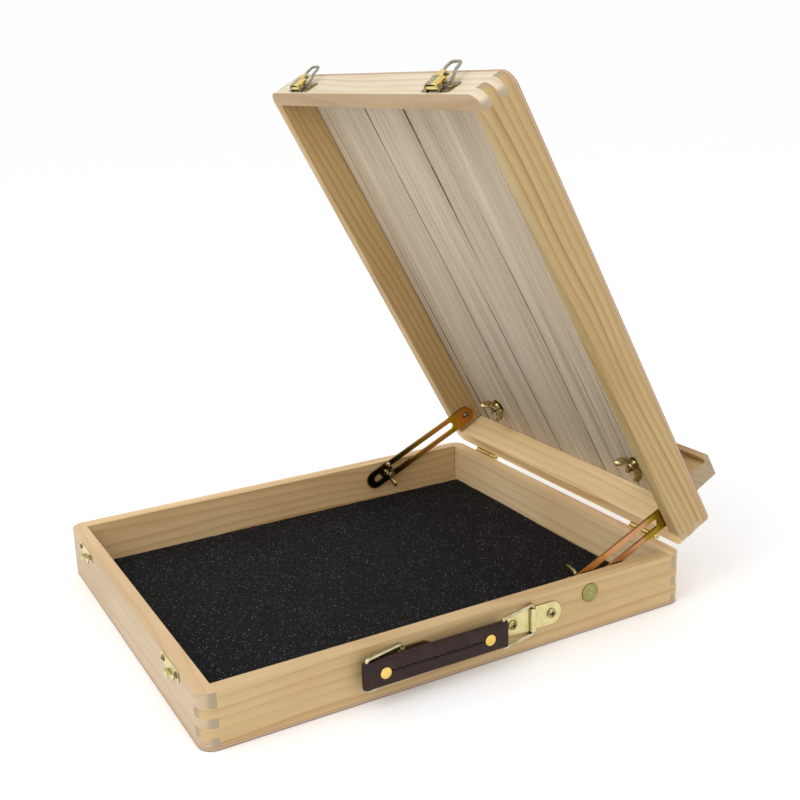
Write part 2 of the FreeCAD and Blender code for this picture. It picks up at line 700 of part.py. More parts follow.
# Local X runs down the bar from the pivot, local Z towards the middle of the box.
down_bar = FreeCAD.Vector(0, -math.cos(math.radians(stay_slope)), -math.sin(math.radians(stay_slope)))
for side, sign in OUTWARD.items():
    inward = FreeCAD.Vector(-sign, 0, 0)
    turn = FreeCAD.Rotation(down_bar, inward.cross(down_bar), inward, "XZY")
    seat = FreeCAD.Vector(sign * stay_face.value, pivot.y, pivot.z)
    node(plate(f"stay_{side}", "XY", 0, stay_thickness, stay_outline), f"stay_{side}",
         FreeCAD.Placement(seat, turn))
    head = cell("bolt_head_radius") * 0.45
    profile = [(0, -0.5), (1.95, -0.5), (1.95, stay_thickness), (head, stay_thickness),
               (head, stay_thickness + 0.7), (head * 0.6, stay_thickness + 1.8), (0, stay_thickness + 2)]
    screw = turned(f"stay_pivot_{side}_blank", profile)
    recess = box(f"stay_pivot_{side}_recess", -head, -0.35, stay_thickness + 1.2, head * 2, 0.7, 2)
    node(cut(f"stay_pivot_{side}", screw, recess), f"stay_pivot_{side}", FreeCAD.Placement(seat, turn))

    outward_axis = FreeCAD.Rotation(FreeCAD.Vector(0, 1, 0), 90 * sign)
    carriage_bolt(f"stay_bolt_{side}", bolt_radius, cell("bolt_head_radius"), cell("bolt_head_height"),
                  wall + 13.5, FreeCAD.Placement(vector(half_width * sign, bolt_y, bolt_z), outward_axis))
    ring(f"stay_washer_{side}", cell("washer_radius"), bolt_radius + 0.1, washer_thickness,
         FreeCAD.Placement(vector(washer_face * sign, bolt_y, bolt_z), outward_axis))
    nut_seat = (stay_face - stay_thickness - 0.3) * sign
    wing_turn = FreeCAD.Rotation(FreeCAD.Vector(1, 0, 0), WING_TILT[side])
    inward_axis = FreeCAD.Rotation(FreeCAD.Vector(0, 1, 0), -90 * sign)
    wing_nut_node(f"stay_wing_nut_{side}", bolt_radius,
                  FreeCAD.Placement(vector(nut_seat, bolt_y, bolt_z), wing_turn.multiply(inward_axis)))


# ---------------------------------------------------------------- catches and toggle latches

front_face = -half_depth


def catch(label, centre_x):
    """Plate with a screw hole at each end and a lobe below that carries the hook."""
    half_long, half_tall = cell("catch_length") / 2, cell("catch_height") / 2
    hook, reach, drop = cell("hook_width"), cell("hook_reach"), cell("hook_drop")
    low, high = catch_z - half_tall, catch_z + half_tall
    lobe = low - cell("catch_lobe")

    def draw(drawing):
        outline(drawing, [(centre_x - half_long, low, 2), (centre_x - hook, low, 2),
                          (centre_x - hook / 2, lobe, 2), (centre_x + hook / 2, lobe, 2),
                          (centre_x + hook, low, 2), (centre_x + half_long, low, 2),
                          (centre_x + half_long, high, 2), (centre_x - half_long, high, 2)])

    flat = plate(label + "_flat", "XZ", half_depth, sheet_thickness, draw)
    hook_top = cell("hook_top")
    shelf = box(label + "_shelf", centre_x - hook / 2, front_face - reach, hook_top - sheet_thickness,
                hook, reach, sheet_thickness)
    lip = box(label + "_lip", centre_x - hook / 2, front_face - reach, hook_top - drop,
              hook, sheet_thickness, drop)
    holes = [cylinder(f"{label}_hole_{number}", centre_x + offset, front_face - 2, catch_z, screw_hole, 4, "Y")
             for number, offset in enumerate((-half_catch, half_catch))]
    return node(cut(label, fuse(label + "_blank", flat, shelf, lip), *holes), label)


pin_out = -half_depth - cell("latch_pin_out")
pin_z = rim + cell("latch_pin_rise")
latch_pin = cell("latch_pin_radius")
lever_root = cell("lever_root")
ear_gap = 0.4
ear_inner = lever_root / 2 + ear_gap


def latch_plate(label, centre_x):
    """Plate on the lid with two ears that hold the lever's pin."""
    long, tall = cell("latch_length"), cell("latch_height")

    def draw(drawing):
        rectangle(drawing, centre_x - long / 2, latch_z - tall / 2, centre_x + long / 2,
                  latch_z + tall / 2, 2)

    flat = plate(label + "_flat", "XZ", half_depth, sheet_thickness, draw)
    ears, holes = [], []
    for number, sign in enumerate((-1, 1)):
        ear_x = centre_x + (ear_inner if sign > 0 else -ear_inner - sheet_thickness)
        reach = cell("latch_pin_out") + 1.7
        ears.append(box(f"{label}_ear_{number}", ear_x, front_face - reach, pin_z - 2,
                        sheet_thickness, reach, 4))
        holes.append(cylinder(f"{label}_hole_{number}", centre_x + half_catch * sign, front_face - 2,
                              latch_z, screw_hole, 4, "Y"))
    bore = cylinder(label + "_pin_bore", centre_x - ear_inner - 2, pin_out, pin_z, latch_pin + 0.05,
                    ear_inner * 2 + 4, "X")
    solid = fuse(label + "_blank", flat, *ears)
    return node(cut(label, solid, bore, *holes), label, lid_placement)


def lever(label, placement):
    """Duck-bill lever: local X along its pin, local Y towards its tip, local Z its outer side."""
    length, root, tip = cell("lever_length"), lever_root / 2, cell("lever_tip") / 2
    bail_at, bend = cell("bail_pivot"), latch_pin * 2

    def bill(drawing):
        outline(drawing, [(-root, 0), (root, 0), (root, bail_at + 1.5, 2), (tip, length * 0.7, 3),
                          (tip, length, 2.5), (-tip, length, 2.5), (-tip, length * 0.7, 3),
                          (-root, bail_at + 1.5, 2)])

    bill_sheet = plate(label + "_bill", "XY", bend - sheet_thickness, sheet_thickness, bill)
    rolls = [cylinder(f"{label}_roll_{i}", -root, y, 0, bend, lever_root, "X")
             for i, y in enumerate((0, bail_at))]
    bores = [cylinder(label + "_pin_bore", -lever_root, 0, 0, latch_pin + 0.05, lever_root * 2, "X"),
             cylinder(label + "_bail_bore", -lever_root, bail_at, 0, cell("bail_wire") + 0.08,
                      lever_root * 2, "X")]
    return node(cut(label, fuse(label + "_blank", bill_sheet, *rolls), *bores), label, placement)


def bail(label, placement):
    """Wire loop whose two feet turn in to meet inside the lever; local Y points along the loop."""
    length, foot, loop = cell("bail_length"), cell("bail_foot"), cell("bail_loop")
    half_gap = 0.8
    corners = [(-half_gap, 0), (-foot, 0, 1.6), (-foot, length * 0.26, 4), (-loop, length * 0.6, 3),
               (-loop, length, 4), (loop, length, 4), (loop, length * 0.6, 3), (foot, length * 0.26, 4),
               (foot, 0, 1.6), (half_gap, 0)]
    return node(pipe(label, corners, cell("bail_wire"), False, "YZ", -half_gap), label, placement)


lever_swing = FreeCAD.Rotation(FreeCAD.Vector(1, 0, 0), 90 + cell("lever_angle").value)
bail_swing = FreeCAD.Rotation(FreeCAD.Vector(1, 0, 0), 90 + cell("bail_angle").value)
pin_half = ear_inner + 1.3
for side, sign in OUTWARD.items():
    centre = latch_x * sign
    catch(f"catch_{side}", centre)
    latch_plate(f"latch_plate_{side}", centre)
    rod(f"latch_pin_{side}", latch_pin, pin_half * 2, on_lid(at(centre - pin_half, pin_out, pin_z)))
    pin_point = vector(centre, pin_out, pin_z)
    lever(f"latch_lever_{side}", on_lid(FreeCAD.Placement(pin_point, lever_swing)))
    foot_point = pin_point + lever_swing.multVec(vector(0, cell("bail_pivot"), 0))
    bail(f"latch_bail_{side}", on_lid(FreeCAD.Placement(foot_point, bail_swing)))


# ---------------------------------------------------------------- carrying handle

bead, loop_wire = cell("bead_radius"), cell("loop_wire")
bar_out = loop_wire + 0.2
bracket_half = cell("bracket_width") / 2


def bracket(label, middle_y):
    """Strip with round ends and a raised bead in the middle that holds the loop's bar."""
    reach = cell("bracket_length") / 2 - bracket_half

    def draw(drawing):
        obround(drawing, middle_y - reach, middle_y + reach, handle_z, bracket_half)

    flat = plate(label + "_flat", "YZ", half_width, cell("bracket_thickness"), draw)
    low = handle_z - bracket_half
    block = box(label + "_bead_block", half_width, middle_y - bead, low, bar_out, bead * 2,
                bracket_half * 2)
    crown = cylinder(label + "_bead", half_width + bar_out, middle_y, low, bead, bracket_half * 2)
    channel_radius = loop_wire + 0.08
    channel = cylinder(label + "_channel", half_width + bar_out, middle_y, low - 1, channel_radius,
                       bracket_half * 2 + 2)
    mouth = box(label + "_mouth", half_width - 1, middle_y - channel_radius, low - 1, bar_out + 1,
                channel_radius * 2, bracket_half * 2 + 2)
    behind = box(label + "_behind", half_width - 5, middle_y - bead - 1, low - 1, 5, bead * 2 + 2,
                 bracket_half * 2 + 2)
    holes = [cylinder(f"{label}_hole_{number}", half_width - 1, middle_y + offset, handle_z,
                      cell("bracket_screw_shank") + 0.1, 4, "X")
             for number, offset in enumerate((-half_bracket_screws, half_bracket_screws))]
    solid = fuse(label + "_blank", flat, block, crown)
    return node(cut(label, solid, channel, mouth, behind, *holes), label)


loop_length, loop_half = cell("loop_length"), cell("loop_height") / 2
loop_angle = math.radians(cell("loop_angle").value)
loop_reach = vector(loop_length * math.sin(loop_angle), -loop_length * math.cos(loop_angle), 0)
# Local X of a loop runs from its bracket to the strap and local Y is up.
along_loop = FreeCAD.Vector(math.sin(loop_angle), -math.cos(loop_angle), 0)
upward = FreeCAD.Vector(0, 0, 1)
loop_turn = FreeCAD.Rotation(along_loop, upward, along_loop.cross(upward), "XYZ")
for place_name, middle in bracket_y.items():
    bracket(f"handle_bracket_{place_name}", middle)
    bend = 2.2
    ring_corners = [(0, -loop_half, bend), (loop_length, -loop_half, bend),
                    (loop_length, loop_half, bend), (0, loop_half, bend)]
    loop = pipe(f"handle_loop_{place_name}", ring_corners, loop_wire, True, "XZ", 0)
    node(loop, f"handle_loop_{place_name}",
         FreeCAD.Placement(vector(half_width + bar_out, middle, handle_z), loop_turn))

strap_x = half_width.value + bar_out.value + loop_reach.x
strap_bars = {name: middle.value + loop_reach.y for name, middle in bracket_y.items()}
strap_half, strap_thickness = cell("strap_height") / 2, cell("strap_thickness")
strap_low = handle_z - strap_half
spacing = cell("bracket_spacing")
strap_layers = box("strap_layers", -strap_thickness / 2, 0, -strap_half, strap_thickness, spacing,
                   strap_half * 2)
strap_ends = [cylinder(f"strap_end_{i}", 0, spacing * i, -strap_half, cell("strap_end_radius"),
                       strap_half * 2) for i in (0, 1)]
strap_bores = [cylinder(f"strap_bore_{i}", 0, spacing * i, -strap_half - 1, loop_wire + 0.35,
                        strap_half * 2 + 2) for i in (0, 1)]
rivet_y = [spacing / 2 - cell("rivet_spacing") / 2, spacing / 2 + cell("rivet_spacing") / 2]
rivet_bores = [cylinder(f"strap_rivet_bore_{i}", -5, y, 0, 1.6, 10, "X") for i, y in enumerate(rivet_y)]
strap_place = FreeCAD.Placement(FreeCAD.Vector(strap_x, strap_bars["front"], handle_z.value),
                                FreeCAD.Rotation())
strap_blank = fuse("strap_blank", strap_layers, *strap_ends)
node(cut("handle_strap", strap_blank, *strap_bores, *rivet_bores), "handle_strap", strap_place)

rivet_radius, cap = cell("rivet_radius"), 1.1
half_strap = strap_thickness / 2
rivet_master = turned("rivet_master", [
    (0, -half_strap - 0.7), (2.6, -half_strap - 0.7), (2.6, -half_strap), (1.5, -half_strap),
    (1.5, half_strap), (rivet_radius, half_strap), (rivet_radius, half_strap + 0.3),
    (rivet_radius * 0.7, half_strap + cap * 0.8), (0, half_strap + cap)])
group("handle_rivets", rivet_master,
      [strap_place.multiply(at(0, y, 0, "X")) for y in rivet_y])


# ---------------------------------------------------------------- checks and export

def problems():
    """Every failed feature, and every sub-part without a valid solid."""
    found = [f"{item.Name}: {item.State}" for item in doc.Objects
             if any(flag in item.State for flag in ("Invalid", "Error"))]
    for item in nodes:
        if item.Shape.isNull() or not item.Shape.isValid() or not item.Shape.Solids:
            found.append(f"{item.Label}: no valid solid")
    return found


doc.recompute()
faults = problems()
if faults:
    raise RuntimeError("; ".join(faults))
os.makedirs("parts", exist_ok=True)
for item in nodes:
    item.Shape.exportStep(os.path.join("parts", item.Label + ".step"))
    print(f"{item.Label:24s} solids {len(item.Shape.Solids):2d}  volume {item.Shape.Volume:11.1f}")
print(f"{len(nodes)} sub-parts")
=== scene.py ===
import json
import math
import random

import bmesh
import bpy
from mathutils import Matrix, Quaternion, Vector


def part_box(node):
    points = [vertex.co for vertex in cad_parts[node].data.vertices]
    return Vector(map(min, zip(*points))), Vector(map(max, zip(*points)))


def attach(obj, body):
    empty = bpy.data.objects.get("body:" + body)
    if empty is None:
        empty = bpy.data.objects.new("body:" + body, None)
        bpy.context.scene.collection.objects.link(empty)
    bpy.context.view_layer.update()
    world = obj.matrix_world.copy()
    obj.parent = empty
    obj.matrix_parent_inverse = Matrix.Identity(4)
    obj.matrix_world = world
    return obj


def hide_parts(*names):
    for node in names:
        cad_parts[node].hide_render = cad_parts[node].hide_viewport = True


# Looks of the table easel: camera and lights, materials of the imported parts, and the pieces whose
# finer shape is made here: the handle's strap, its stitches and rivets, the wing nuts, the covers
# of the latch levers and the foam liner.  In metres, apart from outlines that say millimetres.

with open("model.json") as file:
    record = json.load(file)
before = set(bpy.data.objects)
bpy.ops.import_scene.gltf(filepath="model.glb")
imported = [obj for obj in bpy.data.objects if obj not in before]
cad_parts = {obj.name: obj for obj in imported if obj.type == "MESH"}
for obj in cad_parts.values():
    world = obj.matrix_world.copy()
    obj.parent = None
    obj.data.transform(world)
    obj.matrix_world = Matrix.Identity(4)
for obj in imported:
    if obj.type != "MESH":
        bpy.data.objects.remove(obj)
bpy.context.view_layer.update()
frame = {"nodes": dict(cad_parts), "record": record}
NODES = frame["nodes"]
JOINTS = {joint["name"]: joint for joint in frame["record"]["behaviour"]["joints"]}
MM = 0.001
SIDES = {"left": -1, "right": 1}
FLOOR_GAP = 0.4 * MM


# ---------------------------------------------------------------- frame of the lid

HINGE = Vector(JOINTS["lid_hinge"]["pos_m"])
OPEN_ANGLE = math.radians(-JOINTS["lid_hinge"]["range_deg"][0])
LID_TURN = Matrix.Rotation(-OPEN_ANGLE, 4, "X")
# Carries a point of the closed lid to where the raised lid holds it.
LID = Matrix.Translation(HINGE) @ LID_TURN @ Matrix.Translation(-HINGE)


# ---------------------------------------------------------------- camera and studio

def make_camera():
    """Looks down at the open box from its handle side, with a slight roll."""
    position = Vector((0.77776, -0.38637, 0.41743))
    target = Vector((-0.01694, 0.03175, 0.16257))
    roll = math.radians(-2.244)
    data = bpy.data.cameras.new("camera")
    data.lens = 50.92
    data.sensor_width = 36
    data.shift_x = 0.0269
    data.shift_y = -0.0167
    camera = bpy.data.objects.new("camera", data)
    bpy.context.collection.objects.link(camera)
    turn = (target - position).to_track_quat("-Z", "Y")
    camera.rotation_mode = "QUATERNION"
    camera.rotation_quaternion = turn @ Quaternion((0, 0, 1), roll)
    camera.location = position
    bpy.context.scene.camera = camera


def area_light(name, position, target, size, power, colour=(1, 1, 1)):
    data = bpy.data.lights.new(name, "AREA")
    data.shape = "SQUARE"
    data.size = size
    data.energy = power
    data.color = colour
    lamp = bpy.data.objects.new(name, data)
    bpy.context.collection.objects.link(lamp)
    lamp.location = position
    lamp.rotation_mode = "QUATERNION"
    lamp.rotation_quaternion = (Vector(target) - Vector(position)).to_track_quat("-Z", "Y")


def make_studio():
    """White surroundings, a pale floor, a large soft key from the upper front and a weaker fill."""
    bpy.context.scene.view_settings.view_transform = "Standard"
    world = bpy.data.worlds.new("studio")
    bpy.context.scene.world = world
    world.use_nodes = True
    background = world.node_tree.nodes["Background"]
    background.inputs["Color"].default_value = (1, 1, 1, 1)
    background.inputs["Strength"].default_value = 0.99
    middle = (0, 0, 0.1)
    area_light("key", (0.30, -1.15, 1.35), middle, 1.0, 9)
    area_light("fill", (1.4, 0.5, 0.8), middle, 0.9, 1)
    mesh = bpy.data.meshes.new("floor")
    reach = 60
    mesh.from_pydata([(-reach, -reach, 0), (reach, -reach, 0), (reach, reach, 0), (-reach, reach, 0)],
                     [], [(0, 1, 2, 3)])
    floor = bpy.data.objects.new("floor", mesh)
    floor.location.z = -FLOOR_GAP
    bpy.context.collection.objects.link(floor)
    graph = Graph("floor_paint")
    graph.shader(Base_Color=(1, 1, 1, 1), Roughness=0.9)
    floor.data.materials.append(graph.material)


# ---------------------------------------------------------------- node graphs

class Graph:
    """A material and short ways to add nodes to it."""

    def __init__(self, name):
        self.material = bpy.data.materials.new(name)
        self.material.use_nodes = True
        self.tree = self.material.node_tree
        self.principled = self.tree.nodes["Principled BSDF"]

    def set(self, socket, value):
        if isinstance(value, bpy.types.NodeSocket):
            self.tree.links.new(value, socket)
        else:
            socket.default_value = value

    def add(self, kind, output=0, inputs=(), **settings):
        """A node of that kind; inputs maps a socket's name or number to a value or a socket."""
        item = self.tree.nodes.new("ShaderNode" + kind)
        for key, value in settings.items():
            setattr(item, key, value)
        for key, value in dict(inputs).items():
            self.set(item.inputs[key], value)
        return item.outputs[output]

    def math(self, operation, a, b=0.0, c=0.0):
        return self.add("Math", operation=operation, inputs={0: a, 1: b, 2: c})

    def vector(self, operation, a, b=(0, 0, 0)):
        output = 1 if operation in ("LENGTH", "DOT_PRODUCT", "DISTANCE") else 0
        return self.add("VectorMath", output, operation=operation, inputs={0: a, 1: b})

    def scaled(self, coordinates, scale):
        return self.vector("MULTIPLY", coordinates, scale)

    def noise(self, coordinates, scale, detail=3.0, roughness=0.5, distortion=0.0):
        return self.add("TexNoise", inputs={"Vector": coordinates, "Scale": scale, "Detail": detail,
                                            "Roughness": roughness, "Distortion": distortion})

    def step(self, value, low, high, to_low=0.0, to_high=1.0):
        """Smooth step of value from low to high."""
        return self.add("MapRange", interpolation_type="SMOOTHSTEP",
                        inputs={0: value, 1: low, 2: high, 3: to_low, 4: to_high})

    def mix(self, factor, a, b, blend="MIX"):
        """Blend of two colours; 6, 7 and output 2 are the node's colour sockets."""
        item = self.tree.nodes.new("ShaderNodeMix")
        item.data_type = "RGBA"
        item.blend_type = blend
        self.set(item.inputs[0], factor)
        self.set(item.inputs[6], a)
        self.set(item.inputs[7], b)
        return item.outputs[2]

    def ramp(self, value, stops):
        item = self.tree.nodes.new("ShaderNodeValToRGB")
        elements = item.color_ramp.elements
        while len(elements) < len(stops):
            elements.new(0.5)
        for element, (position, colour) in zip(elements, stops):
            element.position = position
            element.color = colour if len(colour) == 4 else (*colour, 1)
        self.tree.links.new(value, item.inputs[0])
        return item.outputs[0]

    def bump(self, height, strength, distance, normal=None):
        inputs = {"Height": height, "Strength": strength, "Distance": distance}
        if normal is not None:
            inputs["Normal"] = normal
        return self.add("Bump", inputs=inputs)

    def shader(self, **inputs):
        """Sets the shader's sockets, named with _ for a space, and gives the finished material."""
        for key, value in inputs.items():
            self.set(self.principled.inputs[key.replace("_", " ")], value)
        return self.material

    def painted_crease_shade(self, reach, darkest):
        """Painted shade: a factor that falls to darkest where another surface lies closer than reach."""
        item = self.tree.nodes.new("ShaderNodeAmbientOcclusion")
        item.samples = 6
        item.inputs["Distance"].default_value = reach
        return self.step(item.outputs["AO"], 0.42, 0.80, darkest, 1.0)

    def shaded(self, surface, factor):
        """Surface colour times a factor."""
        grey = self.add("CombineXYZ", inputs={0: factor, 1: factor, 2: factor})
        return self.mix(1.0, surface, grey, "MULTIPLY")

    def split(self, coordinates):
        """X, Y and Z of coordinates, as three sockets."""
        item = self.tree.nodes.new("ShaderNodeSeparateXYZ")
        self.set(item.inputs[0], coordinates)
        return item.outputs

    def cells(self, coordinates, scale, feature="F1"):
        """Sockets of a pattern of cells, by name."""
        item = self.tree.nodes.new("ShaderNodeTexVoronoi")
        item.feature = feature
        self.set(item.inputs["Vector"], coordinates)
        item.inputs["Scale"].default_value = scale
        return item.outputs

    def object_space(self):
        return self.add("TexCoord", "Object")

    def object_normal(self):
        return self.add("TexCoord", "Normal")


def closed_space(graph, socket, is_direction=False):
    """Turns object space of the raised lid into that of the closed lid."""
    turn = LID_TURN.inverted()
    shift = (0, 0, 0) if is_direction else HINGE - turn @ HINGE
    return graph.add("Mapping", vector_type="POINT",
                     inputs={"Vector": socket, "Location": shift, "Rotation": (OPEN_ANGLE, 0, 0)})


# ---------------------------------------------------------------- wood

CREAM = (0.60, 0.435, 0.225)
PALE = (0.54, 0.375, 0.18)
HONEY = (0.41, 0.235, 0.085)
GREY_END = (0.35, 0.29, 0.20)


def colour(rgb, gain=(1, 1, 1)):
    return (rgb[0] * gain[0], rgb[1] * gain[1], rgb[2] * gain[2], 1)


def pine(name, along, seed, on_lid, pith, spacing, contrast, tint, rim_painted_light=(1, 1, 1)):
    """Pine board whose length runs along X or Y; pith is the tree's heart seen on the board's end."""
    graph = Graph(name)
    place = graph.object_space()
    normal = graph.object_normal()
    if on_lid:
        place = closed_space(graph, place)
        normal = closed_space(graph, normal, True)
    x, y, height = graph.split(place)
    length, across = (x, y) if along == "X" else (y, x)
    run = graph.math("ADD", length, seed * 0.37)
    side = graph.math("ADD", across, seed * 0.11)
    board = graph.add("CombineXYZ", inputs={0: across, 1: height, 2: run})
    seeded = graph.add("CombineXYZ", inputs={0: side, 1: height, 2: run})
    slow = graph.noise(graph.scaled(seeded, (9, 9, 2.2)), 1.0, 2.0, 0.5)
    medium = graph.noise(graph.scaled(seeded, (60, 60, 7)), 1.0, 3.0, 0.55)
    spoke = graph.vector("SUBTRACT", board, (pith[0], pith[1], 0))
    radius = graph.vector("LENGTH", graph.vector("MULTIPLY", spoke, (1, 1, 0)))
    wander = graph.math("MULTIPLY_ADD", graph.math("SUBTRACT", slow, 0.5), 0.050, radius)
    wander = graph.math("MULTIPLY_ADD", graph.math("SUBTRACT", medium, 0.5), 0.0035, wander)
    rings = graph.math("DIVIDE", wander, spacing)
    phase = graph.math("FRACT", rings)
    year = graph.add("TexWhiteNoise", noise_dimensions="1D", inputs={"W": graph.math("FLOOR", rings)})
    late = graph.ramp(phase, [(0.0, (0, 0, 0)), (0.35, (0.06,) * 3), (0.72, (0.55,) * 3),
                              (0.86, (1, 1, 1)), (0.97, (0.25,) * 3), (1.0, (0, 0, 0))])
    strength = graph.math("MULTIPLY_ADD", year, 0.75 * contrast, 0.35 * contrast)
    late = graph.math("MULTIPLY", late, strength)
    blotch = graph.noise(graph.scaled(seeded, (26, 26, 6)), 1.0, 2.0, 0.5)
    base = graph.mix(graph.step(blotch, 0.35, 0.68), colour(CREAM, tint), colour(PALE, tint))
    warm = graph.noise(graph.scaled(seeded, (14, 14, 9)), 1.0, 2.0, 0.6)
    base = graph.mix(graph.step(warm, 0.58, 0.80, 0.0, 0.30), base, colour((0.50, 0.30, 0.14), tint))
    grain = graph.mix(late, base, colour(HONEY, tint))
    fibre = graph.noise(graph.scaled(seeded, (1500, 1500, 22)), 1.0, 3.0, 0.65)
    fine = graph.mix(graph.step(fibre, 0.40, 0.72, 0.0, 0.26), grain, colour((0.36, 0.23, 0.11), tint))
    pores = graph.noise(graph.scaled(seeded, (2600, 2600, 2600)), 1.0, 2.0, 0.6)
    # Painted light and shade: faces turned up or down, the boards' rims, are multiplied by a tint of their
    # own.
    upright = graph.math("ABSOLUTE", graph.vector("DOT_PRODUCT", normal, (0, 0, 1)))
    rim = graph.mix(graph.step(upright, 0.55, 0.90), (1, 1, 1, 1), colour(rim_painted_light))
    fine = graph.mix(1.0, fine, rim, "MULTIPLY")
    end_base = graph.mix(late, colour(GREY_END), colour((0.36, 0.25, 0.15)))
    end = graph.mix(graph.step(pores, 0.42, 0.66, 0.0, 0.55), end_base, colour((0.27, 0.21, 0.14)))
    axis = (1, 0, 0) if along == "X" else (0, 1, 0)
    facing = graph.math("ABSOLUTE", graph.vector("DOT_PRODUCT", normal, axis))
    is_end = graph.step(facing, 0.80, 0.99)
    surface = graph.mix(graph.math("MULTIPLY", is_end, 0.80), fine, end)
    # Painted shade in inner corners and where boards meet.
    surface = graph.shaded(surface, graph.painted_crease_shade(1.6 * MM, 0.42))
    relief = graph.math("MULTIPLY_ADD", fibre, 0.8, graph.math("MULTIPLY", late, -0.4))
    relief = graph.math("MULTIPLY_ADD", pores, 0.25, relief)
    rough = graph.math("MULTIPLY_ADD", fibre, 0.16, graph.math("MULTIPLY_ADD", is_end, 0.18, 0.42))
    return graph.shader(Base_Color=surface, Roughness=rough, Specular_IOR_Level=0.35,
                        Normal=graph.bump(relief, 0.35, 0.00025))


def veneer(name, on_lid, light, dark, streak, edge_low, edge_height, streaks=1.0):
    """Thin plywood: long dark streaks along Y on both faces, brown plies on its edge."""
    graph = Graph(name)
    place = graph.object_space()
    normal = graph.object_normal()
    if on_lid:
        place = closed_space(graph, place)
        normal = closed_space(graph, normal, True)
    wave = graph.noise(graph.scaled(place, (4, 3, 1)), 1.0, 2.0)
    sway = graph.add("CombineXYZ", inputs={0: graph.math("MULTIPLY", wave, 0.010)})
    bent = graph.vector("ADD", place, sway)
    broad = graph.noise(graph.scaled(bent, (38, 1.4, 1)), 1.0, 3.0, 0.6)
    base = graph.mix(graph.step(broad, 0.35, 0.65), light, dark)
    bands = graph.noise(graph.scaled(bent, (260, 1.8, 1)), 1.0, 4.0, 0.7)
    base = graph.mix(graph.step(bands, 0.42, 0.66, 0.0, 0.55 * streaks), base, colour((0.34, 0.245, 0.165)))
    hair = graph.noise(graph.scaled(bent, (1100, 9, 1)), 1.0, 3.0, 0.7)
    base = graph.mix(graph.step(hair, 0.45, 0.70, 0.0, 0.60), base, colour((0.31, 0.225, 0.16)))
    cloth = graph.noise(graph.scaled(bent, (520, 1500, 1)), 1.0, 2.0, 0.6)
    base = graph.mix(graph.step(cloth, 0.45, 0.68, 0.0, 0.34), base, colour((0.80, 0.70, 0.57)))
    crowd = graph.noise(graph.scaled(place, (15, 1.1, 1)), 1.0, 2.0, 0.5)
    lines = []
    for scale, reach, offset, width in ((170, 0.9, 0.0, 0.020), (460, 2.2, 3.7, 0.045)):
        shifted = graph.vector("ADD", bent, (offset, offset, 0))
        line = graph.noise(graph.scaled(shifted, (scale, reach, 1)), 1.0, 2.0, 0.5)
        threshold = graph.math("MULTIPLY_ADD", crowd, -0.20, 0.750)
        lines.append(graph.step(graph.math("SUBTRACT", line, threshold), 0.0, width))
    breaks = graph.noise(graph.scaled(place, (80, 20, 1)), 1.0, 3.0, 0.6)
    mark = graph.math("MAXIMUM", lines[0], graph.math("MULTIPLY", lines[1], 0.8))
    mark = graph.math("MULTIPLY", mark, graph.step(breaks, 0.30, 0.52, 0.45, 1.0))
    mark = graph.math("MULTIPLY", mark, streaks)
    face = graph.mix(mark, base, streak)
    above = graph.math("SUBTRACT", graph.split(place)[2], edge_low)
    height = graph.math("DIVIDE", above, edge_height)
    plies = graph.ramp(height, [(0.0, (0.36, 0.22, 0.13)), (0.30, (0.40, 0.26, 0.16)),
                                (0.36, (0.56, 0.42, 0.27)), (0.64, (0.54, 0.40, 0.26)),
                                (0.70, (0.36, 0.21, 0.12)), (1.0, (0.46, 0.32, 0.20))])
    up = graph.math("ABSOLUTE", graph.vector("DOT_PRODUCT", normal, (0, 0, 1)))
    surface = graph.mix(graph.step(up, 0.5, 0.8), plies, face)
    # Painted shade where another surface lies close.
    surface = graph.shaded(surface, graph.painted_crease_shade(2.2 * MM, 0.5))
    relief = graph.math("MULTIPLY_ADD", mark, -1.0, graph.math("MULTIPLY_ADD", cloth, 0.5, hair))
    return graph.shader(Base_Color=surface, Roughness=graph.math("MULTIPLY_ADD", hair, 0.15, 0.55),
                        Specular_IOR_Level=0.25, Normal=graph.bump(relief, 0.5, 0.0003))


# ---------------------------------------------------------------- foam, leather and metals

def foam_material():
    """Black closed-cell foam: pitted grains of a millimetre, a few of which carry a painted glint."""
    graph = Graph("foam")
    place = graph.object_space()
    cells = graph.cells(place, 1250)
    tone = graph.add("TexWhiteNoise", inputs={"Vector": cells["Position"]})
    cloud = graph.noise(graph.scaled(place, (60, 60, 60)), 1.0, 3.0, 0.6)
    # Tones from near black to grey, with painted glints up to near white on a few grains; cell borders stay
    # near black.
    grey = graph.ramp(tone, [(0.0, (0.002,) * 3), (0.40, (0.006, 0.006, 0.007)),
                             (0.72, (0.024, 0.024, 0.027)), (0.90, (0.100, 0.100, 0.110)),
                             (0.97, (0.26, 0.26, 0.28)), (1.0, (0.80, 0.80, 0.84))])
    core = graph.step(cells["Distance"], 0.10, 0.55, 1.0, 0.0)
    body = graph.mix(core, colour((0.006, 0.006, 0.007)), grey)
    body = graph.mix(graph.step(cloud, 0.35, 0.70, 0.0, 0.30), body, colour((0.004, 0.004, 0.005)))
    height = graph.math("MULTIPLY_ADD", tone, 0.7, graph.math("MULTIPLY", cells["Distance"], -1.2))
    return graph.shader(Base_Color=body, Roughness=0.80, Specular_IOR_Level=0.12,
                        Normal=graph.bump(height, 0.9, 0.0006))


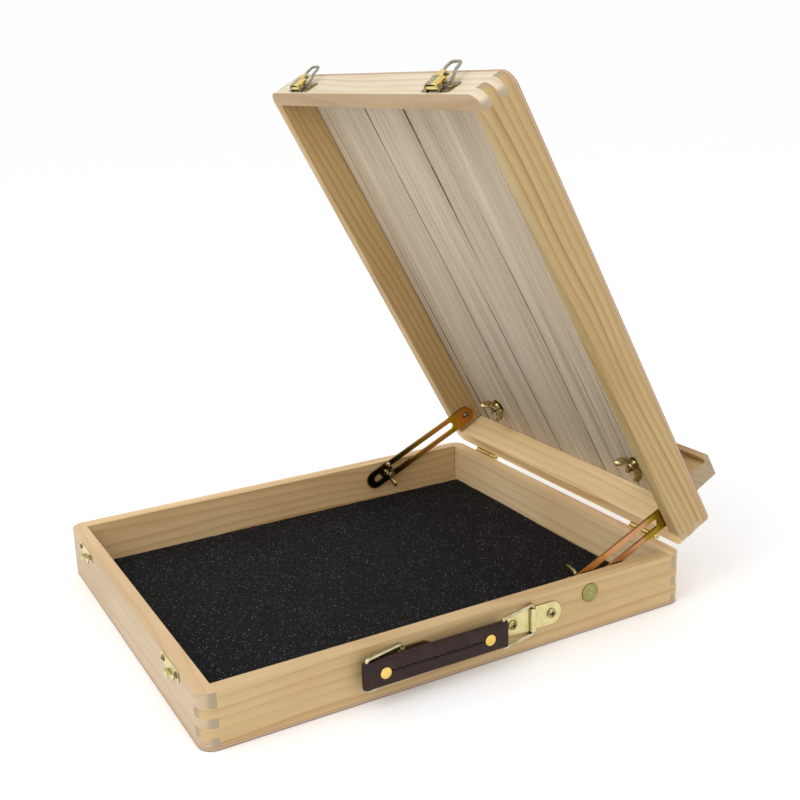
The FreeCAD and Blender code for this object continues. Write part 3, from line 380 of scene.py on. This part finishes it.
def leather_material():
    """Dark brown leather with fine pebbles and wrinkles, with painted shade that makes it almost black in its
    folds.
    """
    graph = Graph("leather")
    place = graph.object_space()
    pebble = graph.cells(place, 1500, "SMOOTH_F1")
    cloud = graph.noise(graph.scaled(place, (80, 80, 80)), 1.0, 4.0, 0.6)
    wrinkle = graph.noise(graph.scaled(place, (500, 260, 500)), 1.0, 3.0, 0.6)
    base = graph.mix(graph.step(cloud, 0.35, 0.70), colour((0.022, 0.010, 0.009)),
                     colour((0.034, 0.016, 0.014)))
    base = graph.mix(graph.step(wrinkle, 0.58, 0.80, 0.0, 0.30), base, colour((0.060, 0.036, 0.030)))
    # Painted shade in the folds.
    base = graph.shaded(base, graph.painted_crease_shade(1.8 * MM, 0.12))
    height = graph.math("MULTIPLY_ADD", wrinkle, 0.8, graph.math("MULTIPLY", pebble["Distance"], 0.5))
    rough = graph.math("MULTIPLY_ADD", cloud, 0.18, 0.40)
    return graph.shader(Base_Color=base, Roughness=rough, Specular_IOR_Level=0.22,
                        Normal=graph.bump(height, 0.35, 0.0003))


def thread_material():
    """Waxed thread: almost black, with a fine twist."""
    graph = Graph("waxed_thread")
    place = graph.object_space()
    twist = graph.noise(graph.scaled(place, (900, 2400, 900)), 1.0, 2.0, 0.5)
    base = graph.mix(twist, colour((0.003, 0.002, 0.002)), colour((0.010, 0.006, 0.005)))
    return graph.shader(Base_Color=base, Roughness=0.45, Specular_IOR_Level=0.3,
                        Normal=graph.bump(twist, 0.4, 0.0002))


def metal(name, tint, shade, roughness, blotch_scale=120, hollow_shade=0.25):
    """Plated metal with faint clouds in its colour, fine scratches and painted shade in its hollows."""
    graph = Graph(name)
    place = graph.object_space()
    cloud = graph.noise(graph.scaled(place, (blotch_scale,) * 3), 1.0, 4.0, 0.6)
    fine = graph.noise(graph.scaled(place, (900, 5200, 2300)), 1.0, 3.0, 0.6)
    base = graph.mix(graph.step(cloud, 0.35, 0.68), colour(tint), colour(shade))
    # Painted shade in hollows.
    base = graph.shaded(base, graph.painted_crease_shade(2.6 * MM, hollow_shade))
    rough = graph.math("MULTIPLY_ADD", cloud, 0.14, graph.math("MULTIPLY_ADD", fine, 0.12, roughness))
    height = graph.math("ADD", cloud, graph.math("MULTIPLY", fine, 0.5))
    return graph.shader(Base_Color=base, Metallic=1.0, Roughness=rough,
                        Normal=graph.bump(height, 0.12, 0.0002))


def zinc_material(side, bands):
    """Yellow-passivated steel: colours drift from the stay's pivot end to its lower end."""
    graph = Graph("yellow_zinc_" + side)
    place = graph.object_space()
    low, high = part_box("stay_" + side)
    down = graph.math("SUBTRACT", high.y, graph.split(place)[1])
    down = graph.math("DIVIDE", down, high.y - low.y)
    film = graph.noise(graph.scaled(place, (60, 60, 60)), 1.0, 3.0, 0.6)
    spots = graph.noise(graph.scaled(place, (260, 200, 260)), 1.0, 3.0, 0.6)
    down = graph.math("MULTIPLY_ADD", graph.math("SUBTRACT", film, 0.5), 0.22, down)
    tint = graph.ramp(down, bands)
    tint = graph.mix(graph.step(spots, 0.52, 0.74, 0.0, 0.35), tint, colour((0.30, 0.22, 0.03)))
    # Painted shade in creases.
    tint = graph.shaded(tint, graph.painted_crease_shade(2.4 * MM, 0.35))
    fine = graph.noise(graph.scaled(place, (2600, 700, 2600)), 1.0, 3.0, 0.6)
    rough = graph.math("MULTIPLY_ADD", fine, 0.16, 0.22)
    return graph.shader(Base_Color=tint, Metallic=1.0, Roughness=rough, Normal=graph.bump(fine, 0.10, 0.0002))


# ---------------------------------------------------------------- mesh helpers

def new_piece(name, mesh, material, body, smooth=True):
    """Links a mesh as a piece that rides on a body."""
    piece = bpy.data.objects.new(name, mesh)
    bpy.context.collection.objects.link(piece)
    mesh.materials.append(material)
    if smooth:
        mesh.polygons.foreach_set("use_smooth", [True] * len(mesh.polygons))
    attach(piece, body)
    return piece


def mesh_from(name, vertices, faces):
    mesh = bpy.data.meshes.new(name)
    mesh.from_pydata([tuple(v) for v in vertices], [], faces)
    mesh.update()
    return mesh


def between_rings(start, rings, count):
    """Faces that join each ring of count vertices to the next, from vertex start on."""
    faces = []
    for k in range(rings - 1):
        a, b = start + k * count, start + (k + 1) * count
        for i in range(count):
            j = (i + 1) % count
            faces.append((a + i, a + j, b + j, b + i))
    return faces


def end_faces(start, rings, count):
    """The faces that close the first and the last ring."""
    last = start + (rings - 1) * count
    return [tuple(reversed(range(start, start + count))), tuple(range(last, last + count))]


def lathe_mesh(name, profile, steps=40):
    """Solid of revolution about Z from (radius, height) points that begin and end on the axis."""
    vertices = []
    inner = profile[1:-1]
    for radius, height in inner:
        for i in range(steps):
            angle = 2 * math.pi * i / steps
            vertices.append((radius * math.cos(angle), radius * math.sin(angle), height))
    faces = between_rings(0, len(inner), steps)
    first, last = len(vertices), len(vertices) + 1
    vertices += [(0, 0, profile[0][1]), (0, 0, profile[-1][1])]
    top = (len(inner) - 1) * steps
    for i in range(steps):
        j = (i + 1) % steps
        faces.append((first, j, i))
        faces.append((last, top + i, top + j))
    return mesh_from(name, vertices, faces)


def bevel_edges(target, width, angle=30):
    """Breaks the edges of an object where its faces turn by more than the angle, in degrees."""
    bevel = target.modifiers.new("edges", "BEVEL")
    bevel.width = width
    bevel.segments = 2
    bevel.limit_method = "ANGLE"
    bevel.angle_limit = math.radians(angle)


def paint(node, material):
    slots = NODES[node].data.materials
    slots.clear()
    slots.append(material)


make_camera()
make_studio()


# ---------------------------------------------------------------- painted parts

def board_materials():
    """Every board has its own heart position, ring width and seed, as different sticks of pine do."""
    # along, seed, on the lid, heart of the tree, ring width, contrast, tint, and the painted light and shade
    # on the rim faces
    boards = {
        "base_right_wall": ("Y", 1.3, False, (0.10, -0.15), 0.0085, 0.70,
                            (0.99, 0.985, 0.96), (1.03, 1.03, 1.10)),
        "base_left_wall": ("Y", 4.1, False, (-0.26, -0.14), 0.0070, 0.95, (1.30, 1.29, 1.30)),
        "base_front_wall": ("X", 2.6, False, (-0.26, 0.10), 0.0080, 0.40,
                            (0.94, 1.01, 1.30), (1.20, 1.10, 0.94)),
        "base_rear_wall": ("X", 7.7, False, (0.26, -0.08), 0.0070, 0.55, (1.27, 1.33, 1.50)),
        "lid_right_wall": ("Y", 5.2, True, (0.13, -0.10), 0.0062, 1.20,
                           (0.82, 0.80, 0.70), (1.0, 1.06, 1.12)),
        "lid_left_wall": ("Y", 3.3, True, (-0.13, -0.12), 0.0055, 0.95, (0.96, 0.93, 0.83)),
        # The lid's front wall: its paler tint is partly the wood's colour and partly painted light on its
        # outer face; its rim tint is painted shade.
        "lid_front_wall": ("X", 8.4, True, (-0.16, -0.13), 0.0075, 0.70,
                           (1.18, 1.38, 1.98), (0.66, 0.56, 0.42)),
        "lid_rear_wall": ("X", 9.9, True, (0.16, -0.12), 0.0080, 0.75, (1.46, 1.56, 1.74)),
        "canvas_ledge": ("X", 6.1, True, (0.20, 0.02), 0.0060, 1.10, (0.86, 0.80, 0.72)),
    }
    for node, settings in boards.items():
        paint(node, pine("pine_" + node, *settings))
        bevel_edges(NODES[node], 0.5 * MM)


def panel_materials():
    """Plain plywood under the tray; a streaked veneer on the lid's panel."""
    low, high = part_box("base_bottom_panel")
    thickness = high.z - low.z
    plywood = veneer("plywood_bottom", False, colour((0.52, 0.38, 0.26)), colour((0.44, 0.30, 0.20)),
                     colour((0.25, 0.15, 0.10)), low.z, thickness, 0.6)
    to_closed = LID.inverted()
    panel_low = min((to_closed @ Vector(v.co)).z for v in NODES["lid_panel"].data.vertices)
    lid_veneer = veneer("veneer_lid", True, colour((0.63, 0.535, 0.40)), colour((0.50, 0.41, 0.29)),
                        colour((0.07, 0.038, 0.022)), panel_low, thickness)
    for node, material in (("base_bottom_panel", plywood), ("lid_panel", lid_veneer)):
        paint(node, material)
        bevel_edges(NODES[node], 0.3 * MM)


board_materials()
panel_materials()

brass = metal("pale_brass", (0.76, 0.68, 0.36), (0.66, 0.57, 0.26), 0.20)
bright_brass = metal("bright_brass", (0.84, 0.66, 0.24), (0.66, 0.48, 0.12), 0.12, hollow_shade=0.10)
gold = metal("rivet_gold", (0.92, 0.66, 0.18), (0.84, 0.54, 0.12), 0.20)
olive = metal("olive_plating", (0.42, 0.36, 0.18), (0.26, 0.22, 0.09), 0.22, 200, hollow_shade=0.12)
dark_steel = metal("dark_screw_steel", (0.34, 0.31, 0.22), (0.16, 0.14, 0.09), 0.20, hollow_shade=0.10)
# The bronze's dark patches are partly random tone and partly painted reflection.
bronze = metal("bronzed_steel", (0.56, 0.44, 0.20), (0.13, 0.095, 0.035), 0.12, 300, hollow_shade=0.05)
wire = metal("dull_plated_wire", (0.38, 0.37, 0.29), (0.27, 0.26, 0.19), 0.24)
pale_wire = metal("pale_plated_wire", (0.66, 0.60, 0.40), (0.42, 0.37, 0.20), 0.14)
bolt_green = metal("greenish_zinc", (0.36, 0.35, 0.13), (0.28, 0.25, 0.09), 0.30, 420)
leather = leather_material()
# Share of the way from a stay's pivot end to its lower end, and the colour given there; the left stay darkens
# to near black towards its lower end.
STAY_BANDS = {
    "left": [(0.0, (0.42, 0.17, 0.03)), (0.11, (0.48, 0.22, 0.04)), (0.15, (0.36, 0.25, 0.01)),
             (0.22, (0.38, 0.27, 0.01)), (0.27, (0.50, 0.25, 0.07)), (0.42, (0.44, 0.23, 0.06)),
             (0.52, (0.32, 0.20, 0.03)), (0.62, (0.18, 0.12, 0.02)), (0.74, (0.09, 0.05, 0.01)),
             (1.0, (0.035, 0.016, 0.004))],
    "right": [(0.0, (0.45, 0.22, 0.05)), (0.10, (0.30, 0.17, 0.01)), (0.26, (0.30, 0.18, 0.01)),
              (0.32, (0.52, 0.26, 0.13)), (0.50, (0.56, 0.28, 0.13)), (0.66, (0.55, 0.27, 0.08)),
              (0.82, (0.52, 0.22, 0.04)), (1.0, (0.40, 0.20, 0.03))]}

for side in SIDES:
    for node, material in ((f"catch_{side}", brass), (f"latch_plate_{side}", olive),
                           (f"latch_lever_{side}", bright_brass), (f"latch_bail_{side}", wire),
                           (f"latch_pin_{side}", wire), (f"hinge_base_leaf_{side}", bright_brass),
                           (f"hinge_lid_leaf_{side}", bright_brass), (f"hinge_pin_{side}", wire),
                           (f"stay_{side}", zinc_material(side, STAY_BANDS[side])),
                           (f"stay_pivot_{side}", dark_steel), (f"stay_bolt_{side}", bolt_green),
                           (f"stay_washer_{side}", bronze),
                           (f"stay_wing_nut_{side}", bronze), (f"ledge_wing_nut_{side}", bronze),
                           (f"ledge_bolt_{side}", bronze), (f"ledge_washer_{side}", bronze)):
        paint(node, material)
for node in ("hinge_base_screws", "hinge_lid_screws"):
    paint(node, dark_steel)
for node in ("catch_screws", "latch_screws", "bracket_screws"):
    paint(node, bronze)
for end in ("front", "rear"):
    paint(f"handle_bracket_{end}", brass)
    paint(f"handle_loop_{end}", pale_wire)
    bevel_edges(NODES[f"handle_bracket_{end}"], 0.25 * MM)
paint("handle_strap", leather)
paint("handle_rivets", gold)
for side in SIDES:
    bevel_edges(NODES[f"stay_{side}"], 0.25 * MM)
    for node in ("catch", "latch_plate", "latch_lever", "hinge_base_leaf", "hinge_lid_leaf"):
        bevel_edges(NODES[f"{node}_{side}"], 0.15 * MM)


# ---------------------------------------------------------------- handle strap and its rivets

STITCH = 5.4 * MM            # one full zigzag of the seam
RIVET_HEAD = 8.4 * MM
STRAP_FACE = 2.8 * MM        # from the strap's middle to its flat faces
SKIN = 0.1 * MM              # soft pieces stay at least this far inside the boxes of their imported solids
low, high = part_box("handle_rivets")
RIVET_SPACING = high.y - low.y - RIVET_HEAD


def strap_outline(half_length, end):
    """The strap from above as (x, y, side); side is 1 or -1 on a flat face and 0 round a bar."""
    face_steps, turns = 110, 14
    line = [-half_length + 2 * half_length * i / face_steps for i in range(face_steps + 1)]
    angles = [math.pi * i / turns for i in range(1, turns)]
    wrap = [(end * math.cos(angle), half_length + end * math.sin(angle)) for angle in angles]
    return ([(STRAP_FACE, y, 1) for y in line] + [(x, y, 0) for x, y in wrap]
            + [(-STRAP_FACE, -y, -1) for y in line] + [(-x, -y, 0) for x, y in wrap])


def strap_relief(y, z, half_length):
    """How far a flat face stands out: swollen near the bars, grooved and ridged along the seam."""
    wrap_length, swell = 7 * MM, 0.35 * MM
    swing, groove_half, groove_depth = 0.60 * MM, 0.95 * MM, 0.90 * MM
    ridge_at, ridge_width, ridge_height = 2.4 * MM, 1.2 * MM, 0.18 * MM
    wrap = max(0.0, 1 - max(0.0, half_length - abs(y)) / wrap_length)
    relief = swell * wrap * wrap
    if abs(y) < RIVET_SPACING / 2 - 4.5 * MM:
        zigzag = swing * math.sin(2 * math.pi * y / STITCH)
        relief -= groove_depth * max(0.0, 1 - abs(z - zigzag) / groove_half)
        relief += ridge_height * math.exp(-((abs(z) - ridge_at) / ridge_width) ** 2)
    return relief


def strap_piece():
    """Two layers of leather wrapped round the loop bars, padded, with a sewn groove on each face."""
    low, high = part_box("handle_strap")
    centre = (low + high) / 2
    centre.x = JOINTS["handle_strap_turn"]["pos_m"][0]
    half_height = (high.z - low.z) / 2 - SKIN
    end = high.x - centre.x - SKIN
    half_length = (high.y - low.y) / 2 - end - SKIN
    outline = strap_outline(half_length, end)
    rings = 49
    vertices = []
    for k in range(rings):
        across = -1 + 2 * k / (rings - 1)
        z = across * half_height
        round_off = 1 - (1 - abs(across) ** 9) ** 0.5
        for x, y, side in outline:
            out = x * (1 - 0.40 * round_off) + side * strap_relief(y, z, half_length)
            vertices.append((centre.x + out, centre.y + y * (1 - 0.012 * round_off), centre.z + z))
    faces = between_rings(0, rings, len(outline)) + end_faces(0, rings, len(outline))
    piece = new_piece("strap_cover", mesh_from("strap_cover", vertices, faces), leather, "handle_strap")
    bevel_edges(piece, 0.25 * MM, 50)
    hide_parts("handle_strap")
    return centre


def stitches(centre):
    """Dark thread that zigzags along the seam on both faces of the strap."""
    reach = RIVET_SPACING / 2 - 5 * MM
    gap, rise, thickness, arch_height = 0.35 * MM, 0.75 * MM, 0.42 * MM, 0.36 * MM
    length = STITCH / 2 - 2 * gap
    rings, corners = 7, 6
    vertices, faces = [], []
    for side in (1, -1):
        for n in range(int(2 * reach / (STITCH / 2))):
            first_y = -reach + n * STITCH / 2 + gap
            climb = rise if n % 2 else -rise
            start = len(vertices)
            for i in range(rings):
                t = i / (rings - 1)
                arch = math.sin(math.pi * t)
                z = climb * (2 * t - 1)
                out = STRAP_FACE - thickness + arch_height * arch
                radius = thickness * (0.55 + 0.45 * arch)
                for q in range(corners):
                    angle = 2 * math.pi * q / corners
                    x = side * (out + radius * math.cos(angle))
                    vertices.append((centre.x + x, centre.y + first_y + length * t,
                                     centre.z + z + radius * math.sin(angle)))
            skin = between_rings(start, rings, corners) + end_faces(start, rings, corners)
            faces += skin if side > 0 else [tuple(reversed(face)) for face in skin]
    mesh = mesh_from("strap_stitches", vertices, faces)
    piece = new_piece("strap_stitches", mesh, thread_material(), "handle_strap")


def rivets(centre):
    """Brass rivets: a domed cap with a turned rim outside, a flat washer inside."""
    # Profiles as (radius, height) in millimetres.
    cap = [(0, 0.0), (4.05, 0.0), (4.20, 0.18), (4.12, 0.42), (3.85, 0.52), (3.55, 0.50), (3.2, 0.62),
           (2.3, 0.90), (1.2, 1.05), (0, 1.08)]
    back = [(0, 0.0), (2.6, 0.0), (2.6, 0.35), (2.3, 0.55), (1.5, 0.60), (1.1, 0.35), (0, 0.33)]
    sunk = 0.05 * MM
    whole = bmesh.new()
    for y in (-RIVET_SPACING / 2, RIVET_SPACING / 2):
        for profile, sign in ((cap, 1), (back, -1)):
            mesh = lathe_mesh("rivet", [(r * MM, h * MM) for r, h in profile])
            place = Matrix.Translation(centre + Vector((sign * (STRAP_FACE - sunk), y, 0)))
            mesh.transform(place @ Matrix.Rotation(sign * math.pi / 2, 4, "Y"))
            whole.from_mesh(mesh)
            bpy.data.meshes.remove(mesh)
    mesh = bpy.data.meshes.new("strap_rivets")
    whole.to_mesh(mesh)
    whole.free()
    piece = new_piece("strap_rivets", mesh, gold, "handle_strap")
    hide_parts("handle_rivets")


strap_centre = strap_piece()
stitches(strap_centre)
rivets(strap_centre)


# ---------------------------------------------------------------- wing nuts

def wing_outline():
    """A wing's edge, in millimetres out from the nut's axis and up from its seat."""
    corners = [(3.3, 0.5), (6.2, 0.6), (9.6, 2.2), (12.3, 5.4), (13.0, 8.4), (12.8, 10.8), (11.4, 12.0),
               (9.0, 12.0), (7.2, 10.4), (5.6, 7.8), (4.3, 6.3), (3.3, 5.9)]
    curve = []
    for i, here in enumerate(corners):
        before, after = corners[i - 1], corners[(i + 1) % len(corners)]
        further = corners[(i + 2) % len(corners)]
        curve.append(here)
        # The four-point rule: a middle point on a smooth curve through the corners.
        if 1 <= i < len(corners) - 2:
            together = zip(here, after, before, further)
            curve.append(tuple((9 * (a + b) - c - d) / 16 for a, b, c, d in together))
    return curve


def add_ring(vertices, faces, profile, steps):
    """Revolves a closed profile of (radius, height) points about Z."""
    start, count = len(vertices), len(profile)
    for i in range(steps):
        angle = 2 * math.pi * i / steps
        vertices += [(r * math.cos(angle), r * math.sin(angle), h) for r, h in profile]
    for i in range(steps):
        a, b = start + i * count, start + (i + 1) % steps * count
        for k in range(count):
            m = (k + 1) % count
            faces.append((a + k, b + k, b + m, a + m))


def add_wing(vertices, faces, turn):
    """A wing that is thicker at its root, with edges rounded by narrower outer layers."""
    outline = wing_outline()
    centre = (7.9, 6.2)
    root, tip = 3.0, 12.5
    half_at_axis, taper, bow_depth = 1.75, 0.045, 0.9
    layers = [(-1.0, 0.93), (-0.72, 0.985), (-0.3, 1.0), (0.3, 1.0), (0.72, 0.985), (1.0, 0.93)]
    start = len(vertices)
    for depth, shrink in layers:
        for x, z in outline:
            px = centre[0] + (x - centre[0]) * shrink
            pz = centre[1] + (z - centre[1]) * shrink
            bow = bow_depth * math.sin(math.pi * min(1.0, max(0.0, (px - root) / (tip - root))))
            py = depth * (half_at_axis - taper * px) + bow
            vertices.append((turn * px, turn * py, pz))
    faces += between_rings(start, len(layers), len(outline))
    faces += end_faces(start, len(layers), len(outline))


def wing_nut(node, frame_turn, bore):
    """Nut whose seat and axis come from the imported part; frame_turn holds local X along the wings."""
    joint = JOINTS[node.replace("_nut_", "_nut_turn_")]
    origin = Vector(joint["pos_m"])
    axis = frame_turn @ Vector((0, 0, 1))
    seat = min((Vector(v.co) - origin).dot(axis) for v in NODES[node].data.vertices)
    vertices, faces = [], []
    # The hub's profile as (radius, height), in millimetres.
    hub = [(bore, 0.3), (bore + 0.3, 0), (4.5, 0), (4.8, 0.3), (4.75, 1.0), (4.3, 1.7),
           (3.95, 4.6), (3.8, 6.1), (3.4, 6.5), (bore + 0.3, 6.5), (bore, 6.2)]
    add_ring(vertices, faces, hub, 48)
    for turn in (1, -1):
        add_wing(vertices, faces, turn)
    mesh = mesh_from(node + "_cover", [Vector(v) * MM for v in vertices], faces)
    mesh.transform(Matrix.Translation(origin + axis * seat) @ frame_turn.to_4x4())
    piece = new_piece(node + "_cover", mesh, bronze, node)
    bevel_edges(piece, 0.15 * MM, 40)
    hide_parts(node)


WING_TILT = {"left": 15, "right": 4}  # how far the stays' wing nuts are turned at rest, in degrees
LEDGE_WING_TURN = 35
STAY_BORE, LEDGE_BORE = 3.1, 2.6      # radii, in millimetres
for side, sign in SIDES.items():
    tilt = Matrix.Rotation(math.radians(WING_TILT[side]), 3, "X")
    wing_nut("stay_wing_nut_" + side, tilt @ Matrix.Rotation(-sign * math.pi / 2, 3, "Y"), STAY_BORE)
    flip = Matrix.Rotation(math.radians(LEDGE_WING_TURN), 3, "Z") @ Matrix.Rotation(math.pi, 3, "X")
    wing_nut("ledge_wing_nut_" + side, LID_TURN.to_3x3() @ flip, LEDGE_BORE)


# ---------------------------------------------------------------- latch levers

LEVER_ANGLE = 8                      # degrees that the levers lean out from the lid's wall at rest
LEVER_HALF, LEVER_TOP = 7.0, 3.1     # half its width, and its back above the pin, in millimetres


def lever_section():
    """The channel from the edge of one cheek to that of the other, as (x, z) in millimetres."""
    cheek, shoulder = -1.9, 0.9
    cheek_steps, turns, flat = 8, 5, 20
    rise = LEVER_TOP - shoulder - cheek
    half_back = LEVER_HALF - shoulder
    sides = [(-LEVER_HALF, cheek + rise * k / cheek_steps) for k in range(cheek_steps + 1)]
    for k in range(1, turns):
        angle = math.pi / 2 * k / turns
        sides.append((-half_back - shoulder * math.cos(angle), rise + cheek + shoulder * math.sin(angle)))
    back = [(-half_back + 2 * half_back * k / flat, LEVER_TOP) for k in range(flat + 1)]
    return sides + back + [(-x, z) for x, z in reversed(sides)]


def lever_shell(side):
    """Pressed cover of a latch lever: a channel whose cheeks hook over the bail, with a curled lip."""
    section = lever_section()
    start, finish, step = -1.6, 13.8, 0.35
    rows = round((finish - start) / step)
    channel_end, lip_half = 8.0, 4.3
    curl, curl_length, droop, narrowing = 0.9, 5.8, 0.012, 0.035
    relief_length, relief_edge = 1.6, 5.4
    tip_length, tip_narrowing = 1.7, 1.6
    wire_at, wire_half, wire_top = 5.5, 1.5, 1.5
    pin_reach = 1.4
    back_height, crown_height, shaded_back_edge = LEVER_TOP - 0.1, 0.35, 2.5
    vertices, faces, shaded_back = [], [], []
    for j in range(rows + 1):
        y = start + step * j
        beyond = max(0.0, y - channel_end)
        lift = curl * math.sin(math.pi * min(1.0, beyond / curl_length)) - droop * beyond * beyond
        for x, z in section:
            bulge = crown_height * math.cos(math.pi * x / (2 * LEVER_HALF))
            crown = bulge if z > back_height else 0.0
            vertices.append((x * (1 - narrowing * beyond), y, z + lift + crown))
    wide = len(section)
    for j in range(rows):
        y = start + step * (j + 0.5)
        tip = (y - finish + tip_length) / tip_length
        for i in range(wide - 1):
            x = (section[i][0] + section[i + 1][0]) / 2
            z = (section[i][1] + section[i + 1][1]) / 2
            outside_lip = y > channel_end and abs(x) > lip_half
            beside_lip = y > channel_end - relief_length and lip_half < abs(x) < relief_edge
            round_lip = tip > 0 and abs(x) > lip_half - tip_narrowing * tip ** 2
            wire_slot = abs(y - wire_at) < wire_half and z < wire_top
            at_pin = y < pin_reach and z < pin_reach
            if outside_lip or beside_lip or round_lip or wire_slot or at_pin:
                continue
            a = j * wide + i
            faces.append((a, a + 1, a + wide + 1, a + wide))
            # Faces on the left of the lever's back are marked to take the olive colour: painted shade on the
            # brass sheet.
            shaded_back.append(z > back_height and y < channel_end and x < shaded_back_edge)
    mesh = mesh_from("latch_lever_shell_" + side, [Vector(v) * MM for v in vertices], faces)
    loose = bmesh.new()
    loose.from_mesh(mesh)
    bmesh.ops.delete(loose, geom=[v for v in loose.verts if not v.link_faces], context="VERTS")
    loose.to_mesh(mesh)
    loose.free()
    pin = Vector(JOINTS["latch_lever_hinge_" + side]["pos_m"])
    swing = LID_TURN.to_3x3() @ Matrix.Rotation(math.radians(90 + LEVER_ANGLE), 3, "X")
    mesh.transform(Matrix.Translation(pin) @ swing.to_4x4())
    piece = new_piece("latch_lever_shell_" + side, mesh, bright_brass, "latch_lever_" + side)
    # Second material: painted shade on the marked faces of the lever's back.
    mesh.materials.append(olive)
    for polygon, is_shaded_back in zip(mesh.polygons, shaded_back):
        polygon.material_index = int(is_shaded_back)
    thick = piece.modifiers.new("sheet", "SOLIDIFY")
    thick.thickness = 0.7 * MM
    thick.offset = 0
    bevel_edges(piece, 0.15 * MM, 50)


for side in SIDES:
    lever_shell(side)


# ---------------------------------------------------------------- foam liner

def foam_piece():
    """The liner as a grid whose top swells and dips a little, with soft upper edges."""
    rng = random.Random(5)
    low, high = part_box("foam_liner")
    step, inset = 4 * MM, 0.4 * MM
    top_gap, edge_drop, swell, grain = 0.6 * MM, 0.6 * MM, 0.3 * MM, 0.15 * MM
    columns = round((high.x - low.x) / step)
    rows = round((high.y - low.y) / step)
    vertices, faces = [], []
    for j in range(rows + 1):
        for i in range(columns + 1):
            x = low.x + inset + (high.x - low.x - 2 * inset) * i / columns
            y = low.y + inset + (high.y - low.y - 2 * inset) * j / rows
            drop = edge_drop if min(i, j, columns - i, rows - j) == 0 else 0.0
            wave = swell * math.sin(x * 31 + 1.0) * math.sin(y * 23 + 0.5)
            vertices.append((x, y, high.z - top_gap - drop + wave + rng.uniform(-grain, grain)))
    wide = columns + 1
    for j in range(rows):
        for i in range(columns):
            a = j * wide + i
            faces.append((a, a + 1, a + wide + 1, a + wide))
    rim = list(range(wide))
    rim += [j * wide + columns for j in range(1, rows + 1)]
    rim += [rows * wide + i for i in range(columns - 1, -1, -1)]
    rim += [j * wide for j in range(rows - 1, 0, -1)]
    start = len(vertices)
    for index in rim:
        x, y, z = vertices[index]
        vertices.append((x, y, low.z + SKIN))
    for k in range(len(rim)):
        following = (k + 1) % len(rim)
        faces.append((rim[following], rim[k], start + k, start + following))
    faces.append(tuple(start + k for k in reversed(range(len(rim)))))
    piece = new_piece("foam_pad", mesh_from("foam_pad", vertices, faces), foam_material(), "base", False)
    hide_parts("foam_liner")


foam_piece()
